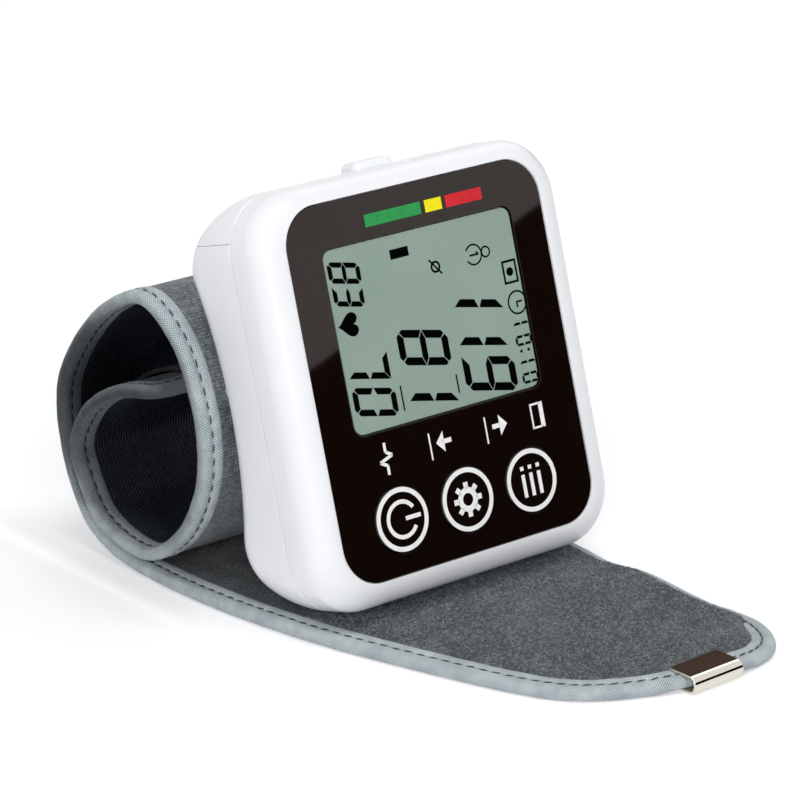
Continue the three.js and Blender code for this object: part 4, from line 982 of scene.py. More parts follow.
def digit(figure, left, right, low, high, width, slant=0.21):
    """Outlines of a digit's bars. Left and right are its edges at half its height."""
    gap = 0.04 + width * 0.035
    middle, half = (low + high) / 2, width / 2

    def cut_at(level_bar, upright_bar):
        """How much of a corner is cut off: only where two dark bars meet, and never on a seven."""
        both = level_bar in BARS[figure] and upright_bar in BARS[figure]
        return width * 0.9 if both and figure != "7" else 0.0

    def across_bar(edge, inwards, left_cut, right_cut):
        inner = edge + inwards * width
        outline = [(left + max(left_cut, gap), edge), (right - max(right_cut, gap), edge)]
        if right_cut:
            outline.append((right - right_cut / 2 - gap, edge + inwards * (right_cut / 2 - gap)))
        outline += [(right - width - gap, inner), (left + width + gap, inner)]
        if left_cut:
            outline.append((left + left_cut / 2 + gap, edge + inwards * (left_cut / 2 - gap)))
        return outline

    def side_bar(edge, inwards, end, to_middle, cut):
        inner, stop = edge + inwards * width, middle - to_middle * gap
        outline = [(edge, end + to_middle * max(cut, gap)), (edge, stop)]
        outline += [(inner, stop - to_middle * half), (inner, end + to_middle * (width + gap))]
        if cut:
            outline.append((edge + inwards * (cut / 2 - gap), end + to_middle * (cut / 2 + gap)))
        return outline

    near, far, rise = left + width, right - width, half - gap
    bars = {
        "a": across_bar(high, -1, cut_at("a", "f"), cut_at("a", "b")),
        "d": across_bar(low, 1, cut_at("d", "e"), cut_at("d", "c")),
        "b": side_bar(right, -1, high, -1, cut_at("a", "b")),
        "c": side_bar(right, -1, low, 1, cut_at("d", "c")),
        "f": side_bar(left, 1, high, -1, cut_at("a", "f")),
        "e": side_bar(left, 1, low, 1, cut_at("d", "e")),
        "g": [
            (left + gap * 2, middle), (near, middle + rise), (far, middle + rise),
            (right - gap * 2, middle), (far, middle - rise), (near, middle - rise),
        ],
    }
    return [[written(x + (y - middle) * slant, y) for x, y in bars[bar]] for bar in BARS[figure]]


def heart(across, up, size):
    points = []
    for step in range(48):
        t = 2 * math.pi * step / 48
        x = 16 * math.sin(t) ** 3
        y = 13 * math.cos(t) - 5 * math.cos(2 * t) - 2 * math.cos(3 * t) - math.cos(4 * t)
        points.append(written(across + x * size / 32, up + y * size / 28))
    return points


# Each reading's digits: the figure, left, right, low, high, and the width of its bars. First come
# the upper and the lower reading, then the pulse, and last the earlier one in the corner.
DIGITS = [
    ("1", -12.4, -8.5, 5.0, 15.5, 1.4), ("1", -5.9, -1.98, 4.6, 15.0, 1.4), ("9", 0.0, 6.0, 4.5, 15.6, 1.42),
    ("8", -7.36, -1.25, -8.2, 2.4, 1.38), ("1", 1.0, 4.95, -7.9, 2.5, 1.35),
    ("7", -6.3, -1.57, -19.4, -10.8, 1.12), ("0", 0.0, 4.83, -19.4, -10.5, 1.12),
    ("8", -21.68, -18.07, -19.7, -13.1, 0.88), ("3", -17.45, -14.2, -19.5, -13.3, 0.88),
]
TIME_DIGITS = [("1", -5.4, -3.75), ("0", -1.95, -0.15), ("1", 1.2, 2.95), ("0", 4.6, 6.45)]
SEGMENT_DEPTH, SEGMENT_THICK = -0.29, 0.012


def display_signs():
    shapes = [bar for entry in DIGITS for bar in digit(*entry)]
    # the time, with its colon
    for figure, left, right in TIME_DIGITS:
        shapes += digit(figure, left, right, 16.75, 20.35, 0.46, slant=0.0)
    shapes += [stroke((0.75, up - 0.25), (0.75, up + 0.25), 0.5) for up in (17.6, 19.2)]
    # heart, battery block, clock
    shapes += [heart(-11.25, -17.3, 4.1), bar_outline(-21.75, -20.1, -6.4, -2.45)]
    shapes.append(ring(-7.65, 18.6, 1.95, 0.32, 36))
    shapes += [stroke((-7.75, 18.6), (-7.75, 19.7), 0.32), stroke((-7.9, 18.5), (-6.8, 18.5), 0.32)]
    # a framed dot and a mean sign where the real display writes letters
    shapes.append((bar_outline(-15.15, -11.05, 16.65, 19.8), bar_outline(-14.75, -11.45, 17.05, 19.4)))
    shapes.append(circle(*written(-13.1, 18.2), 0.75, 24))
    shapes += [ring(-17.1, 2.6, 0.85, 0.38, 28), stroke((-18.5, 1.4), (-15.7, 3.8), 0.32)]
    # a head and shoulders for the user, with the user's number
    shapes += [ring(-17.5, 13.75, 0.88, 0.3, 28), arc(-17.5, 11.1, 1.72, 0.3, -60, 240, 28)]
    shapes += [stroke((-17.45, 10.2), (-17.45, 12.2), 0.34), stroke((-17.95, 11.7), (-17.4, 12.1), 0.3)]
    # units are a plain short line
    shapes += [stroke((1.6, 2.75), (4.8, 2.75), 0.3), stroke((0.9, -9.3), (5.2, -9.3), 0.3)]
    return shapes


plates("display_segments", display_signs(), SEGMENT_DEPTH, "head", segment_black, SEGMENT_THICK)

# %% [markdown]
# ## The cuff as one strip
#
# The whole cuff is one long strip of layered cloth: it starts inside the roll, runs once round,
# climbs behind the casing, goes over the top, down the outer lap, and out flat on the table under
# the head, where it ends in a rounded tip. Cloth hardly stretches, so any place on it can be named
# by two lengths: how far along the strip, and how far across. A function turns those two into a
# place in space, and all cloth pieces, tapes and stitches are drawn on the flat strip and bent by
# it.

# %% Middle line of the strip
HALF_STRIP = 1.175
STRIP_NEAR, STRIP_FAR = -36.6, 31.2
FOLD_Y, TAIL_LENGTH = -12.0, 46.2
ROLL_FRONT, ROLL_DEPTH, ROLL_HEIGHT = 20.3688, 42.2, 50.1
INNER_END = [(0.322, 0.671), (0.452, 0.653), (0.594, 0.617), (0.736, 0.551), (0.842, 0.466)]
LIFT = [(0.377, 0.07), (0.168, 0.19), (0.043, 0.347), (0, 0.477), (0.002, 0.597)]
CROWN = [(0.081, 0.796), (0.154, 0.888), (0.258, 0.962), (0.37, 1), (0.47, 0.993)]
OUTER_LAP = [
    (0.563, 0.956), (0.693, 0.885), (0.84, 0.763), (0.932, 0.657), (0.989, 0.557), (1, 0.438), (0.975, 0.322),
    (0.932, 0.226), (0.878, 0.15), (0.809, 0.082), (0.686, 0.032), (0.523, 0.006), (0.37, 0),
]


PAD_DEPTH, LAYER_GAP, FOLD_GAP = 20.7, 0.3, 0.15


def in_roll(shares):
    """Places in the roll, given as shares of its depth and height."""
    return [Vector((ROLL_FRONT + y * ROLL_DEPTH, HALF_STRIP + z * ROLL_HEIGHT)) for y, z in shares]


def strip_places():
    """The strip's middle line as y and z on the bench, the same places as in the solid model."""
    outer = in_roll(OUTER_LAP)
    nested = []
    for place in range(6, 12):
        along = (outer[place + 1] - outer[place - 1]).normalized()
        nested.append(outer[place] + Vector((along.y, -along.x)) * (2 * HALF_STRIP + LAYER_GAP))
    seat = (HEAD @ Vector((0, 0, -(PAD_DEPTH + LAYER_GAP + HALF_STRIP)))) / MM - MIDDLE
    seat = Vector((seat.y, seat.z + MIDDLE.z))
    lead = [Vector((y, HALF_STRIP)) for y in ((ROLL_FRONT + FOLD_Y) / 2, FOLD_Y + FOLD_GAP)]
    return in_roll(INNER_END) + nested + in_roll(LIFT) + [seat] + in_roll(CROWN) + outer + lead


PLACES = strip_places()
OUTER_START = 22
LINING_END = OUTER_START + 8


def through(points, position):
    """A place on the smooth curve through the points: position counts them from 0."""
    last = len(points) - 1
    index = min(int(position), last - 1)
    share = position - index
    p1, p2 = points[index], points[index + 1]
    p0 = points[index - 1] if index else p1 * 2 - p2
    p3 = points[index + 2] if index + 2 <= last else p2 * 2 - p1
    d0, d1, d2 = ((b - a).length ** 0.5 for a, b in ((p0, p1), (p1, p2), (p2, p3)))
    d1 = d1 if d1 > 1e-4 else 1.0
    d0, d2 = (d if d > 1e-4 else d1 for d in (d0, d2))
    t1 = ((p1 - p0) / d0 - (p2 - p0) / (d0 + d1) + (p2 - p1) / d1) * d1
    t2 = ((p2 - p1) / d1 - (p3 - p1) / (d1 + d2) + (p3 - p2) / d2) * d1
    s2, s3 = share * share, share**3
    return p1 * (2 * s3 - 3 * s2 + 1) + t1 * (s3 - 2 * s2 + share) + p2 * (3 * s2 - 2 * s3) + t2 * (s3 - s2)


# %% [markdown]
# The middle line is measured in small steps, so that a length along it finds its place, the way
# that the strip runs there, and which side faces out. Past the fold the strip goes straight on.

# %% Length along the strip
FINE = 24
LINE = []
for step in range((len(PLACES) - 1) * FINE + 1):
    position = step / FINE
    point = through(PLACES, position)
    point.y = max(HALF_STRIP, point.y)
    length = LINE[-1][0] + (point - LINE[-1][2]).length if LINE else 0.0
    LINE.append((length, position, point))
FOLD_S = LINE[-1][0]
LINING_S = next(length for length, position, _ in LINE if position >= LINING_END)
OUTER_S = next(length for length, position, _ in LINE if position >= OUTER_START)
LENGTHS = [entry[0] for entry in LINE]
print("strip to the fold:", round(FOLD_S, 1), "mm, lining ends at", round(LINING_S, 1))


def line_at(s):
    """Middle line's y and z, the direction that it runs in, and its outward side, at a length."""
    if s >= FOLD_S:
        return Vector((LINE[-1][2].x - (s - FOLD_S), HALF_STRIP)), Vector((-1, 0)), Vector((0, -1))
    index = max(1, min(len(LINE) - 1, bisect(LENGTHS, s)))
    (s0, _, a), (s1, _, b) = LINE[index - 1], LINE[index]
    before = LINE[max(0, index - 3)][2]
    after = LINE[min(len(LINE) - 1, index + 2)][2]
    along = (after - before).normalized()
    return a.lerp(b, (s - s0) / (s1 - s0)), along, Vector((-along.y, along.x))


CLIP_LENGTH, CLIP_DEPTH, CLIP_SHEET, CLIP_BEND, CLIP_X = 11.2, 6.4, 0.5, 1.5, 9.9
CLIP_Y, CLIP_TOP = FOLD_Y - FOLD_GAP - TAIL_LENGTH - 0.8 + CLIP_DEPTH / 2, 3.15
CLIP_PINCH, CLIP_LIFT, CLIP_REACH = 0.14, 0.4, (0.3, 5.5)


def rising(value, start, stop):
    """From 0 at start to 1 at stop, eased at both ends."""
    share = min(1.0, max(0.0, (value - start) / (stop - start)))
    return share * share * (3 - 2 * share)


def gripped(x, y):
    """1 where the clip grips the tip, easing to 0 within a few millimetres of it."""
    beyond = math.hypot(max(0.0, abs(x - CLIP_X) - CLIP_LENGTH / 2), max(0.0, y - CLIP_Y - CLIP_DEPTH / 2))
    return 1 - rising(beyond, *CLIP_REACH)


def on_strip(s, x, out):
    """A place in space: s along the strip, x across it, out from its middle to the outer side.

    The clip pinches the layers a little and lifts them off the table by its own thickness.
    """
    point, _, outward = line_at(s)
    grip = gripped(x, point.x) if s > FOLD_S else 0.0
    place = point + outward * out * (1 - CLIP_PINCH * grip)
    return Vector((x, place.x, place.y + CLIP_LIFT * grip))


# %% [markdown]
# ## The strip's edges
#
# The strip keeps its width round the roll and narrows on its way to the tip. The near edge, the
# outline of the tail and the far edge make one closed line on the flat strip, with its corners
# rounded at the inner end. It is sampled at even steps, so that the tape and its stitches can
# follow it.

# %% Outline on the flat strip
TAIL_SHARES = [
    (0.115, 0), (0.158, 0.181), (0.206, 0.374), (0.257, 0.562), (0.314, 0.725), (0.37, 0.818), (0.422, 0.87),
    (0.482, 0.915), (0.562, 0.963), (0.628, 0.991), (0.709, 1), (0.798, 0.998), (0.864, 0.987), (0.917, 0.957),
    (0.96, 0.896), (0.987, 0.809), (0.997, 0.723), (0.991, 0.647), (0.981, 0.538), (0.982, 0.417),
    (0.988, 0.278), (0.99, 0.148), (0.97, 0.062), (0.9587, 0),
]
STRIP_WIDTH = STRIP_FAR - STRIP_NEAR


def edges_at(s):
    """The strip's near and far edge at a length before the fold."""
    if s < OUTER_S:
        return STRIP_NEAR, STRIP_FAR
    y = line_at(s)[0].x
    taper = max(0.0, (36 - y) / 48) ** 1.9
    return STRIP_NEAR + 7.8 * taper, STRIP_FAR - 2.8 * taper


def outline_points():
    """The closed outline as lengths along and across, from the inner end's near side round."""
    corner = 4.0
    angles = [math.pi / 2 * step / 8 for step in range(8, -1, -1)]
    start = [Vector((corner * (1 - math.sin(a)), STRIP_NEAR + corner * (1 - math.cos(a)))) for a in angles]
    near, far = [], []
    s = corner + 2.0
    while s < FOLD_S - 3:
        low, high = edges_at(s)
        near.append(Vector((s, low)))
        far.append(Vector((s, high)))
        s += 2.0
    corners = [Vector((FOLD_S + y * TAIL_LENGTH, STRIP_NEAR + x * STRIP_WIDTH)) for x, y in TAIL_SHARES]
    tail = [through(corners, step / 6) for step in range((len(corners) - 1) * 6 + 1)]
    last = [Vector((p.x, STRIP_FAR - (p.y - STRIP_NEAR))) for p in start[::-1]]
    return start + near + tail + far[::-1] + last


def evenly(points, step):
    """The closed line through the points, at even steps."""
    closed = points + [points[0]]
    lengths = [0.0]
    for a, b in zip(closed, closed[1:]):
        lengths.append(lengths[-1] + (b - a).length)
    count = round(lengths[-1] / step)
    result, index = [], 0
    for place in range(count):
        want = lengths[-1] * place / count
        while lengths[index + 1] < want:
            index += 1
        a, b = closed[index], closed[index + 1]
        result.append(a.lerp(b, (want - lengths[index]) / max(1e-9, lengths[index + 1] - lengths[index])))
    return result, lengths[-1]


def soothed(points, rounds):
    """The closed line with its sharp turns eased."""
    for _ in range(rounds):
        after = points[1:] + points[:1]
        points = [(points[k - 1] + p * 2 + after[k]) / 4 for k, p in enumerate(points)]
    return points


OUTLINE, ROUND_LENGTH = evenly(soothed(evenly(outline_points(), 1.0)[0], 4), 1.0)
print("round the edge:", round(ROUND_LENGTH), "mm")


def outline_at(place):
    """A place on the outline, the way along it and the way inwards, by a count that may be broken."""
    count = len(OUTLINE)
    index = math.floor(place) % count
    share = place - math.floor(place)
    a, b = OUTLINE[index], OUTLINE[(index + 1) % count]
    before = OUTLINE[index - 2].lerp(OUTLINE[index - 1], share)
    after = OUTLINE[(index + 2) % count].lerp(OUTLINE[(index + 3) % count], share)
    along = (after - before).normalized()
    return a.lerp(b, share), along, Vector((-along.y, along.x))


# %% [markdown]
# ## Edge tape
#
# A woven tape is folded over the raw edges of all layers and sewn down with one line of stitches.
# Its section is a thick U: flat on both faces, round at the edge, with a dip where the thread pulls
# it in. A grid is laid out with one side along the outline and the other round the section, and
# every vertex is moved to its place. Joined at its ends, it is one closed band round the cuff. The
# dip is deeper at each stitch than between them, and the fold wanders a little, as sewn tape does.

# %% Edge tape
TAPE_WIDTH, STITCH_IN, STITCH_PITCH = 4.3, 2.35, 2.4
DIP_REACH, DIP_DEPTH, DIP_PULL = 0.6, 0.2, 0.15
HALF_TAPE_SECTION = [
    (4.05, 0.30), (4.27, 0.80), (4.3, 0.98), (4.22, 1.10), (4.0, 1.17), (3.5, 1.2), (3.0, 1.19), (2.7, 1.15),
    (2.35, 1.02), (2.0, 1.15), (1.7, 1.2), (1.25, 1.19), (0.85, 1.13), (0.5, 1.0), (0.24, 0.8), (0.08, 0.5),
    (0.0, 0.17),
]
TAPE_SECTION = HALF_TAPE_SECTION + [(inward, -out) for inward, out in HALF_TAPE_SECTION[::-1]]
# how far each place of the section is along it, so that the weave isn't stretched round the fold
SECTION_LENGTHS = [0.0]
for a, b in zip(TAPE_SECTION, TAPE_SECTION[1:] + TAPE_SECTION[:1]):
    SECTION_LENGTHS.append(SECTION_LENGTHS[-1] + math.dist(a, b))


def tape_place(place, inward, out):
    """A point on the tape: along the outline, in from it, and out from the middle of the layers."""
    point, _, inside = outline_at(place)
    stitch = (place % STITCH_PITCH) / STITCH_PITCH
    depth = DIP_DEPTH + DIP_PULL * abs(math.sin(math.pi * stitch))
    dip = max(0.0, 1 - abs(inward - STITCH_IN) / DIP_REACH) * depth
    sway = 0.12 * noise.noise(Vector((place * 0.11, 3.1, 0)))
    sway += 0.05 * noise.noise(Vector((place * 0.5, 9.7, 0)))
    puff = 0.13 * noise.noise(Vector((place * 0.28, inward * 0.5, out)))
    level = out - math.copysign(dip, out) + math.copysign(puff, out) * (abs(out) > 0.5)
    flat_point = point + inside * (inward + sway * max(0.0, 1 - inward / 5))
    return on_strip(flat_point.x, flat_point.y, level)


def cloth_grid(columns, rows, place, closed=False):
    """A grid bent to place(column share, row share), which gives a point and its map in mm."""
    bm = bmesh.new()
    layer = bm.loops.layers.uv.new("cloth")
    made = bmesh.ops.create_grid(bm, x_segments=columns, y_segments=rows, size=0.5)["verts"]
    flat_map = {}
    for vertex in made:
        column, row = vertex.co.x + 0.5, vertex.co.y + 0.5
        vertex.co, flat_map[vertex] = place(column, row)
    for face in {face for vertex in made for face in vertex.link_faces}:
        face.smooth = True
        for loop in face.loops:
            u, v = flat_map[loop.vert]
            loop[layer].uv = (u * MM, v * MM)
    if closed:
        bmesh.ops.remove_doubles(bm, verts=bm.verts[:], dist=1e-4)
    return bm


def tape_point(column, row):
    place = row * len(OUTLINE)
    section_place = round(column * len(TAPE_SECTION))
    inward, out = TAPE_SECTION[section_place % len(TAPE_SECTION)]
    return tape_place(place % len(OUTLINE), inward, out), (SECTION_LENGTHS[section_place], place)


TAPES = ["near_edge_tape", "far_edge_tape", "end_tape", "tail_tape"]
bm = cloth_grid(len(TAPE_SECTION), len(OUTLINE), tape_point, closed=True)
edge_tape = finish_piece("edge_tape", bm, BENCH, None, [tape_grey], TAPES, "binding_tape", 180)
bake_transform(edge_tape)

# %% [markdown]
# ## Stitches
#
# The thread shows as a dark dash on each face of the tape, one for each stitch. A dash is a small
# stretched ball of a few dozen faces, turned to lie along the tape.

# %% Stitches
STITCHES = round(len(OUTLINE) / STITCH_PITCH)
STITCH_LEVEL, HALF_STITCH = 1.36, (0.85, 0.14, 0.13)


def stitch(bm, number):
    """The dashes of one stitch, on both faces of the tape."""
    place = (number + 0.5) * len(OUTLINE) / STITCHES
    for level in (-STITCH_LEVEL, STITCH_LEVEL):
        middle = tape_place(place, STITCH_IN, level)
        along = (tape_place(place + 0.5, STITCH_IN, level) - middle).normalized()
        up = along.cross(tape_place(place, STITCH_IN + 0.5, level) - middle).normalized()
        axes = Matrix((along, up.cross(along), up)).transposed().to_4x4()
        spot = Matrix.Translation(middle) @ axes @ Matrix.Diagonal((*HALF_STITCH, 1))
        bmesh.ops.create_uvsphere(bm, u_segments=8, v_segments=5, radius=1, matrix=spot)


bm = batched(STITCHES, 40, stitch)
stitches = finish_piece("edge_stitches", bm, BENCH, None, [thread_grey], slot="binding_tape", sharp=180)
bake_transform(stitches)

# %% [markdown]
# ## Cloth layers
#
# Between the tapes lie the layers: dark knit outside, a stiff former and the air bladder within,
# and the ribbed lining inside. Each is a grid between two lengths along the strip, drawn in from
# both edges, with a Solidify modifier for its thickness. The tail widens and narrows, so a row
# there ends where the outline does.

# %% Cloth layers
TIP_S = FOLD_S + TAIL_LENGTH
# past the fold: where the fleece starts to climb over the far tape, and where it leaves it again
CLIMB, LEAVE = (-20, -13), (32.5, 37)
# the layers' own shape of edge starts this far before the fold
NEAR_FOLD = 22


def over_tape(s):
    """1 along the far side of the tail, where the fleece lies over the tape, and 0 elsewhere."""
    past = s - FOLD_S
    return rising(past, *CLIMB) * (1 - rising(past, *LEAVE))


def tail_edge(inward):
    """Places on the strip's edge near and past the fold, drawn in, in the order of their lengths."""
    places = []
    for index in range(len(OUTLINE)):
        point, _, inside = outline_at(index)
        places.append(point + inside * (inward(point) if callable(inward) else inward))
    return sorted((p for p in places if p.x > FOLD_S - NEAR_FOLD - 6), key=lambda p: p.x)


def crossing(points, s, fallback):
    """Where a side of the outline crosses a length."""
    for a, b in zip(points, points[1:]):
        if (a.x - s) * (b.x - s) <= 0 and abs(a.x - b.x) > 1e-9:
            return a.lerp(b, (s - a.x) / (b.x - a.x)).y
    return fallback


class Layer:
    """A layer of cloth on the strip, with rows from one length to another."""

    def __init__(self, start, stop, inward):
        self.start = start
        self.inward = inward(Vector((start, 0))) if callable(inward) else inward
        edge = tail_edge(inward)
        self.tip = edge[-1]
        self.stop = min(stop, self.tip.x - 0.15)
        self.near = [p for p in edge if p.y <= self.tip.y]
        self.far = [p for p in edge if p.y > self.tip.y]

    def length_at(self, row):
        """Rows crowd together towards the tip, where the outline turns."""
        if self.stop > FOLD_S + 1:
            row = math.sin(math.pi / 2 * row) * 0.35 + row * 0.65
        return self.start + (self.stop - self.start) * row

    def across(self, s, column):
        if s <= FOLD_S - NEAR_FOLD:
            low, high = edges_at(s)
            low, high = low + self.inward, high - self.inward
        else:
            low, high = crossing(self.near, s, self.tip.y), crossing(self.far, s, self.tip.y)
        return low + (high - low) * column


def layer_piece(name, layer, level, thick, columns, rows, finish, slot, stands_for, body="head", relief=None):
    """A layer's grid at a level out from the middle of the strip, thickened towards the middle."""

    def place(column, row):
        s = layer.length_at(row)
        x = layer.across(s, column)
        out = level + (relief(s, x) if relief else 0.0)
        return on_strip(s, x, out), (x, s)

    bm = cloth_grid(columns, rows, place)
    faces = bm.faces[:]
    _, _, outward = line_at(layer.length_at(0.5))
    facing = Vector((0, outward.x, outward.y)) * math.copysign(1, level)
    bm.normal_update()
    if faces[len(faces) // 2].normal.dot(facing) < 0:
        bmesh.ops.reverse_faces(bm, faces=faces)
    piece = finish_piece(name, bm, BENCH, body, [finish], stands_for, slot, 180, outward=False)
    wall = piece.modifiers.new("thickness", "SOLIDIFY")
    wall.thickness, wall.offset, wall.use_even_offset = thick * MM, -1.0, True
    return piece


# where each layer starts and stops, and how far in from the edges it lies
CLOTH_START, BESIDE = 3.6, TAPE_WIDTH - 0.5
FORMER_START = LENGTHS[5 * FINE]
BLADDER_START, BLADDER_STOP = LENGTHS[6 * FINE], LENGTHS[21 * FINE]
HOOKS_START, HOOKS_STOP = LENGTHS[FINE], LENGTHS[4 * FINE]
outer_cloth = layer_piece(
    "cuff_outer_knit", Layer(CLOTH_START, TIP_S, BESIDE), 1.0, 0.4, 48, 420, outer_grey, "grey_cloth",
    ["cuff_outer_cloth", "tail_cloth"], body=None,
)
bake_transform(outer_cloth)
lining = layer_piece(
    "cuff_ribbed_lining", Layer(CLOTH_START, LINING_S, BESIDE), -1.0, 0.4, 48, 330, lining_black,
    "black_lining", ["cuff_lining"],
)
former = layer_piece(
    "cuff_former_sheet", Layer(FORMER_START, OUTER_S, 6.6), 0.42, 0.3, 12, 200, natural_plastic,
    "natural_plastic", ["cuff_former"],
)
bladder = layer_piece(
    "air_bladder_sheet", Layer(BLADDER_START, BLADDER_STOP, 8.0), -0.42, 0.3, 12, 200, clear_rubber,
    "silicone_rubber", ["air_bladder"],
)

# %% [markdown]
# ## Fleece of the tail
#
# From where the lining ends, the inner side of the strip is thick brushed fleece. It swells up
# beside the tape, lies flat where the head rests over it, and its surface is a little lumpy.

# %% Fleece
def fleece_relief(s, x):
    """How far the fleece stands over the tape's level, as an offset inwards."""
    low, high = FLEECE.across(s, 0.0), FLEECE.across(s, 1.0)
    far = high - x
    lift = over_tape(s) * 0.4 * max(0.0, 1 - far / 7)
    border = min(x - low, far * (1 + 2 * over_tape(s)), (FLEECE.tip.x - s) * 0.9)
    swell = min(1.0, max(0.0, border / 4.5))
    swell = swell * (2 - swell)
    # it has room to rise in front of the head, and none under it
    room = min(1.0, max(0.0, (2.0 - line_at(s)[0].x) / 13.0))
    lumps = 0.16 * noise.noise(Vector((s * 0.16, x * 0.16, 0)))
    lumps += 0.07 * noise.noise(Vector((s * 0.6, x * 0.6, 5)))
    return -swell * (0.15 + 0.75 * room) - lift - lumps * swell * (0.3 + 0.7 * room)


def fleece_border(point):
    """The fleece reaches over the tape on the far side, and stops beside it elsewhere."""
    return BESIDE - (BESIDE - 2.2) * over_tape(point.x) * (point.y > 15)


FLEECE = Layer(LINING_S + 0.2, TIP_S, fleece_border)
fleece = layer_piece(
    "tail_fleece", FLEECE, -1.0, 1.3, 120, 260, fleece_grey, "grey_cloth", ["pile_lead", "tail_pile"],
    body=None, relief=fleece_relief,
)
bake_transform(fleece)

# %% [markdown]
# ## Nap
#
# Brushing pulls loops of the fleece into loose hairs. Over twenty thousand three-sided spikes, each
# shorter than a millimetre, lie over the fleece at random. They catch the light one by one and
# soften the fleece's border, which no bump can do. The draws are seeded, so each run is the same.

# %% Nap
draw = random.Random(7)
HAIRS, ROOT_RADIUS, TIP_RADIUS = 26000, 0.06, 0.03


def hair(bm, _):
    """One hair, but for those that would stand in the clip, and some near the narrow tip."""
    s = draw.uniform(FOLD_S - 14, FLEECE.tip.x - 0.2)
    x = FLEECE.across(s, draw.uniform(0.0, 1.0))
    low, high = FLEECE.across(s, 0.0), FLEECE.across(s, 1.0)
    if high - low < draw.uniform(0, 60):
        return
    root = on_strip(s, x, -1.0 + fleece_relief(s, x))
    if abs(root.x - CLIP_X) < CLIP_LENGTH / 2 + 0.4 and root.y < CLIP_Y + CLIP_DEPTH / 2 + 0.3:
        return
    length = draw.uniform(0.3, 0.8) * min(1.0, 0.3 + 0.35 * (high - x))
    heading = draw.gauss(0.6, 1.4)
    rise = draw.uniform(0.05, 0.7)
    lie = Vector((math.cos(heading) * math.cos(rise), math.sin(heading) * math.cos(rise), math.sin(rise)))
    aim = lie.to_track_quat("Z", "Y").to_matrix().to_4x4()
    spot = Matrix.Translation(root + lie * length * 0.42) @ aim
    bmesh.ops.create_cone(
        bm, cap_ends=True, segments=3, radius1=ROOT_RADIUS, radius2=TIP_RADIUS, depth=length, matrix=spot
    )


bm = batched(HAIRS, 150, hair)
nap = finish_piece("tail_nap", bm, BENCH, None, [nap_grey], (), "grey_cloth", 180, False)
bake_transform(nap)

# %% [markdown]
# ## Hook patch
#
# Near its inner end the strip's outer face carries the hook fastener that grips the fleece when the
# cuff is closed round a wrist.

# %% Hook patch
hooks = layer_piece(
    "hook_patch_strip", Layer(HOOKS_START, HOOKS_STOP, 10.6), 2.2, 0.8, 40, 60, hook_black, "grey_cloth",
    ["hook_patch"],
)

# %% [markdown]
# ## Tip clip
#
# A short piece of bright nickel strip is bent round the edge of the tail's tip. Its section, seen
# along the edge, is a U with round bends; extruded along the edge and eased at its ends, it is the
# clip. The ends of the real one are folded down over the tape, which gives its bright left border.

# %% Tip clip
def clip_section():
    """Outline of the bent strip: across the edge, and height."""
    reach, thin = CLIP_DEPTH / 2, CLIP_BEND - CLIP_SHEET

    def bend(z, radius, start, stop):
        angles = [math.radians(start + (stop - start) * step / 8) for step in range(9)]
        return [(CLIP_BEND - reach + radius * math.cos(a), z + radius * math.sin(a)) for a in angles]

    upper = CLIP_TOP - CLIP_BEND
    outer = [(reach, CLIP_TOP)] + bend(upper, CLIP_BEND, 90, 180)
    outer += bend(CLIP_BEND, CLIP_BEND, 180, 270) + [(reach, 0), (reach, CLIP_SHEET)]
    inner = bend(CLIP_BEND, thin, 270, 180) + bend(upper, thin, 180, 90)
    return outer + inner + [(reach, CLIP_TOP - CLIP_SHEET)]


bm = bmesh.new()
fill_outlines(bm, [clip_section()], -CLIP_LENGTH / 2, CLIP_LENGTH / 2)
bmesh.ops.recalc_face_normals(bm, faces=bm.faces[:])
ends = [e for e in bm.edges if len(e.link_faces) == 2 and e.calc_face_angle() > 0.9]
ease_edges(bm, ends, 0.12, 3)
# the section's plane is stood up, so that what was extruded runs along the edge
stand = Matrix(((0, 0, 1, 0), (1, 0, 0, 0), (0, 1, 0, 0), (0, 0, 0, 1)))
turn = Matrix.Rotation(math.radians(2), 4, "Z")
bm.transform(Matrix.Translation((CLIP_X, CLIP_Y, 0)) @ (turn @ stand))
finish_piece("tip_clip_nickel", bm, BENCH, "tail", [nickel], ["tip_clip"], "bright_nickel", 40)

# %% [markdown]
# ## Cells
#
# The two AAA cells show when the cap is off. Each is turned like a lathe part: a bare steel end, a
# printed wrap that is rolled over both shoulders, and a nub at the positive end.

# %% Cells
CELL_SECTION = [
    (0, -22.25), (4.5, -22.25), (4.75, -22.15), (4.8, -21.9), (5.1, -21.85), (5.25, -21.6), (5.25, 20.9),
    (5.1, 21.1), (4.6, 21.15), (4.55, 21.05), (2.4, 21.05), (2.0, 21.15), (1.9, 21.4), (1.9, 22.1),
    (1.75, 22.25), (0, 22.25),
]
BARE_RADIUS, CELL_DEPTH = 5.05, -14.0
for name, y, towards in (("cell_1", 15.1, 1), ("cell_2", 25.9, -1)):
    bm = turned(CELL_SECTION, 0, 0)
    for face in bm.faces:
        face.material_index = int(max(math.hypot(v.co.x, v.co.y) for v in face.verts) < BARE_RADIUS)
    bm.transform(Matrix.Translation((0, y, CELL_DEPTH)) @ Matrix.Rotation(towards * math.pi / 2, 4, "Y"))
    finish_piece(name + "_wrapped", bm, HEAD, "head", [cell_wrap, nickel], [name], "cell_label", 35)

# %% [markdown]
# ## Finishes for the solids that stay
#
# The parts inside the head keep their CAD shapes, because those are right, and get real finishes.

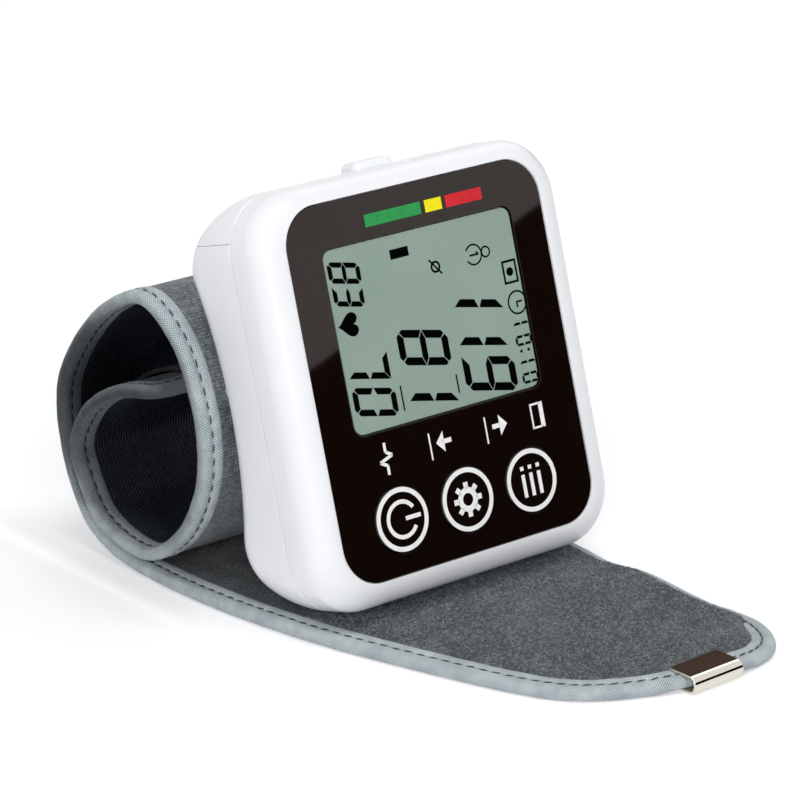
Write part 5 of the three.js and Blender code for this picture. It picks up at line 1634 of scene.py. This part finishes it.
# %% Finishes inside
FINISH_OF_NODES = {
    steel: "case_screw_1 case_screw_2 case_screw_3 case_screw_4 board_screw_1 board_screw_2 bridge_contact "
    "positive_contact negative_contact pump_motor pump_crank release_valve cuff_rivet_1 cuff_rivet_2",
    dark_plastic: "power_switch set_switch memory_switch display_holder controller_chip buzzer pump_cup "
    "pressure_sensor",
    natural_plastic: "pump_cover air_manifold cuff_nozzle",
    clear_rubber: "display_contact_strip pump_diaphragm pump_tube valve_tube sensor_sleeve cuff_tube",
    board_green: "circuit_board",
    display_cell: "display_glass",
}
for finish, names in FINISH_OF_NODES.items():
    for name in names.split():
        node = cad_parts[name]
        if not node.data.materials:
            node.data.materials.append(finish)
        for slot_of_node in node.material_slots:
            slot_of_node.link = "OBJECT"
            slot_of_node.material = finish

# %% [markdown]


# %% [markdown]
# ## Floor, background and light
#
# The floor is a large pale sheet. The photograph has a pure white background, so the floor gives
# off a little light of its own, but only to the camera and to mirrors, and the shadow still shows.
# The light is soft: a big lamp high over the object, one as strong at the front left, a weaker one
# from the right and behind, and a white sky round all of it, dimmer for what isn't a mirror.

# %% Floor and sky
SNOW = (1, 1, 1, 1)


def seen_straight(owner):
    """1 for rays from the camera and from mirrors, and 0 for the rest."""
    path = add(owner, "ShaderNodeLightPath")
    return either(owner, path.outputs["Is Camera Ray"], path.outputs["Is Glossy Ray"]), path


def matt(name, code, roughness, gloss):
    made, shader = new_material(name)
    feed(made, shader, {"Base Color": linear(code), "Roughness": roughness, "Specular IOR Level": gloss})
    return made, shader


def staged(name, bm, material):
    """A piece of the stage: it is seen, or it lights, but it is no part of the object."""
    mesh = mesh_of(name, bm)
    mesh.materials.append(material)
    made = put(name, mesh)
    made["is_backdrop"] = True
    return made


pale, shader = matt("pale_table", "#ebebed", 0.6, 0.3)
seen, path = seen_straight(pale)
seen = either(pale, seen, path.outputs["Is Transmission Ray"])
feed(pale, shader, {"Emission Color": SNOW, "Emission Strength": product(pale, seen, 0.35)})
bm = bmesh.new()
bmesh.ops.create_grid(bm, x_segments=1, y_segments=1, size=6)
staged("table_top", bm, pale)

world = bpy.data.worlds.new("white_room")
world.use_nodes = True
world.node_tree.nodes.clear()
strength = spread(world, seen_straight(world)[0], 0.41, 1.0)
sky = add(world, "ShaderNodeBackground", {"Color": SNOW, "Strength": strength})
add(world, "ShaderNodeOutputWorld", {"Surface": sky.outputs[0]})
bpy.context.scene.world = world


# %% Lamps
def soft_lamp(name, place, size, power):
    """A round white lamp that points at the middle of the object."""
    data = bpy.data.lights.new(name, "AREA")
    data.shape, data.size, data.energy = "DISK", size, power
    lamp = put(name, data)
    lamp.location = place
    lamp.rotation_mode = "QUATERNION"
    lamp.rotation_quaternion = (Vector((0, 0.01, 0.03)) - Vector(place)).to_track_quat("-Z", "Y")


soft_lamp("lamp_overhead", (-0.1, -0.3, 1.5), 0.9, 7.6)
soft_lamp("lamp_left_front", (-1.0, -1.0, 0.6), 0.6, 7.6)
soft_lamp("lamp_right_back", (1.0, 0.6, 0.9), 0.8, 1.3)

# %% [markdown]
# ## Dark cards
#
# A black mirror shows what stands before it. A photographer hides the room with black card, and so
# does this scene: one card where the window mirrors, with its slanted top edge left in sight, which
# gives the window its lighter upper corner, and one where the clip mirrors. To find its place, each
# corner is thrown from the camera to the window and on like a mirrored ray. A third card stands
# close beside the roll, so that little light gets in at its open end.

# %% Dark cards
def mirrored(point, normal, distance):
    """Where a ray from the camera lands, past a mirror at point, in millimetres."""
    ray = (point - eye).normalized()
    return point + (ray - normal * 2 * ray.dot(normal)) * distance


def dark_card(name, corners, code):
    bm = bmesh.new()
    bm.faces.new([bm.verts.new(corner * MM) for corner in corners])
    card = staged(name, bm, matt(name, code, 1.0, 0.0)[0])
    card.visible_camera = card.visible_diffuse = card.visible_shadow = False
    return card


roll_side = [Vector((-42, y, z)) for y, z in ((15, 12), (72, 12), (72, 48), (15, 48))]
shade = dark_card("card_beside_roll", roll_side, "#0c0c0e")
shade.visible_diffuse = shade.visible_shadow = True
shade.visible_glossy = False


def in_window(x, y):
    return HEAD @ Vector((x, y, 0)) / MM


def glare_line(x):
    """Height on the face of the edge between dark and light, at a place across."""
    return 5.9 + 0.323 * (x + 26.6)


face_out = (HEAD.to_3x3() @ Vector((0, 0, 1))).normalized()
in_face = [in_window(x, y) for x, y in ((-70, glare_line(-70)), (60, glare_line(60)), (60, -70), (-70, -70))]
dark_card("card_before_window", [mirrored(corner, face_out, 300) for corner in in_face], "#050302")
clip = MIDDLE.x + CLIP_X, MIDDLE.y + CLIP_Y
offsets = ((-45, -35), (50, -35), (50, 45), (-45, 45))
on_clip = [Vector((clip[0] + x, clip[1] + y, CLIP_TOP)) for x, y in offsets]
dark_card("card_behind_clip", [mirrored(corner, Vector((0, 0, 1)), 170) for corner in on_clip], "#5a4a42")

bpy.context.scene.view_settings.view_transform = "Standard"

# %% [markdown]
# ## Sizes
#
# The box of the dressed model is written next to the CAD model's, so that the two can be compared.

# %% Write the sizes and finish
low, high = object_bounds()
for label, box_low, box_high in (("cad", cad_low, cad_high), ("visual", low, high)):
    print(label, "box", [round(v / MM, 1) for v in box_low], [round(v / MM, 1) for v in box_high])
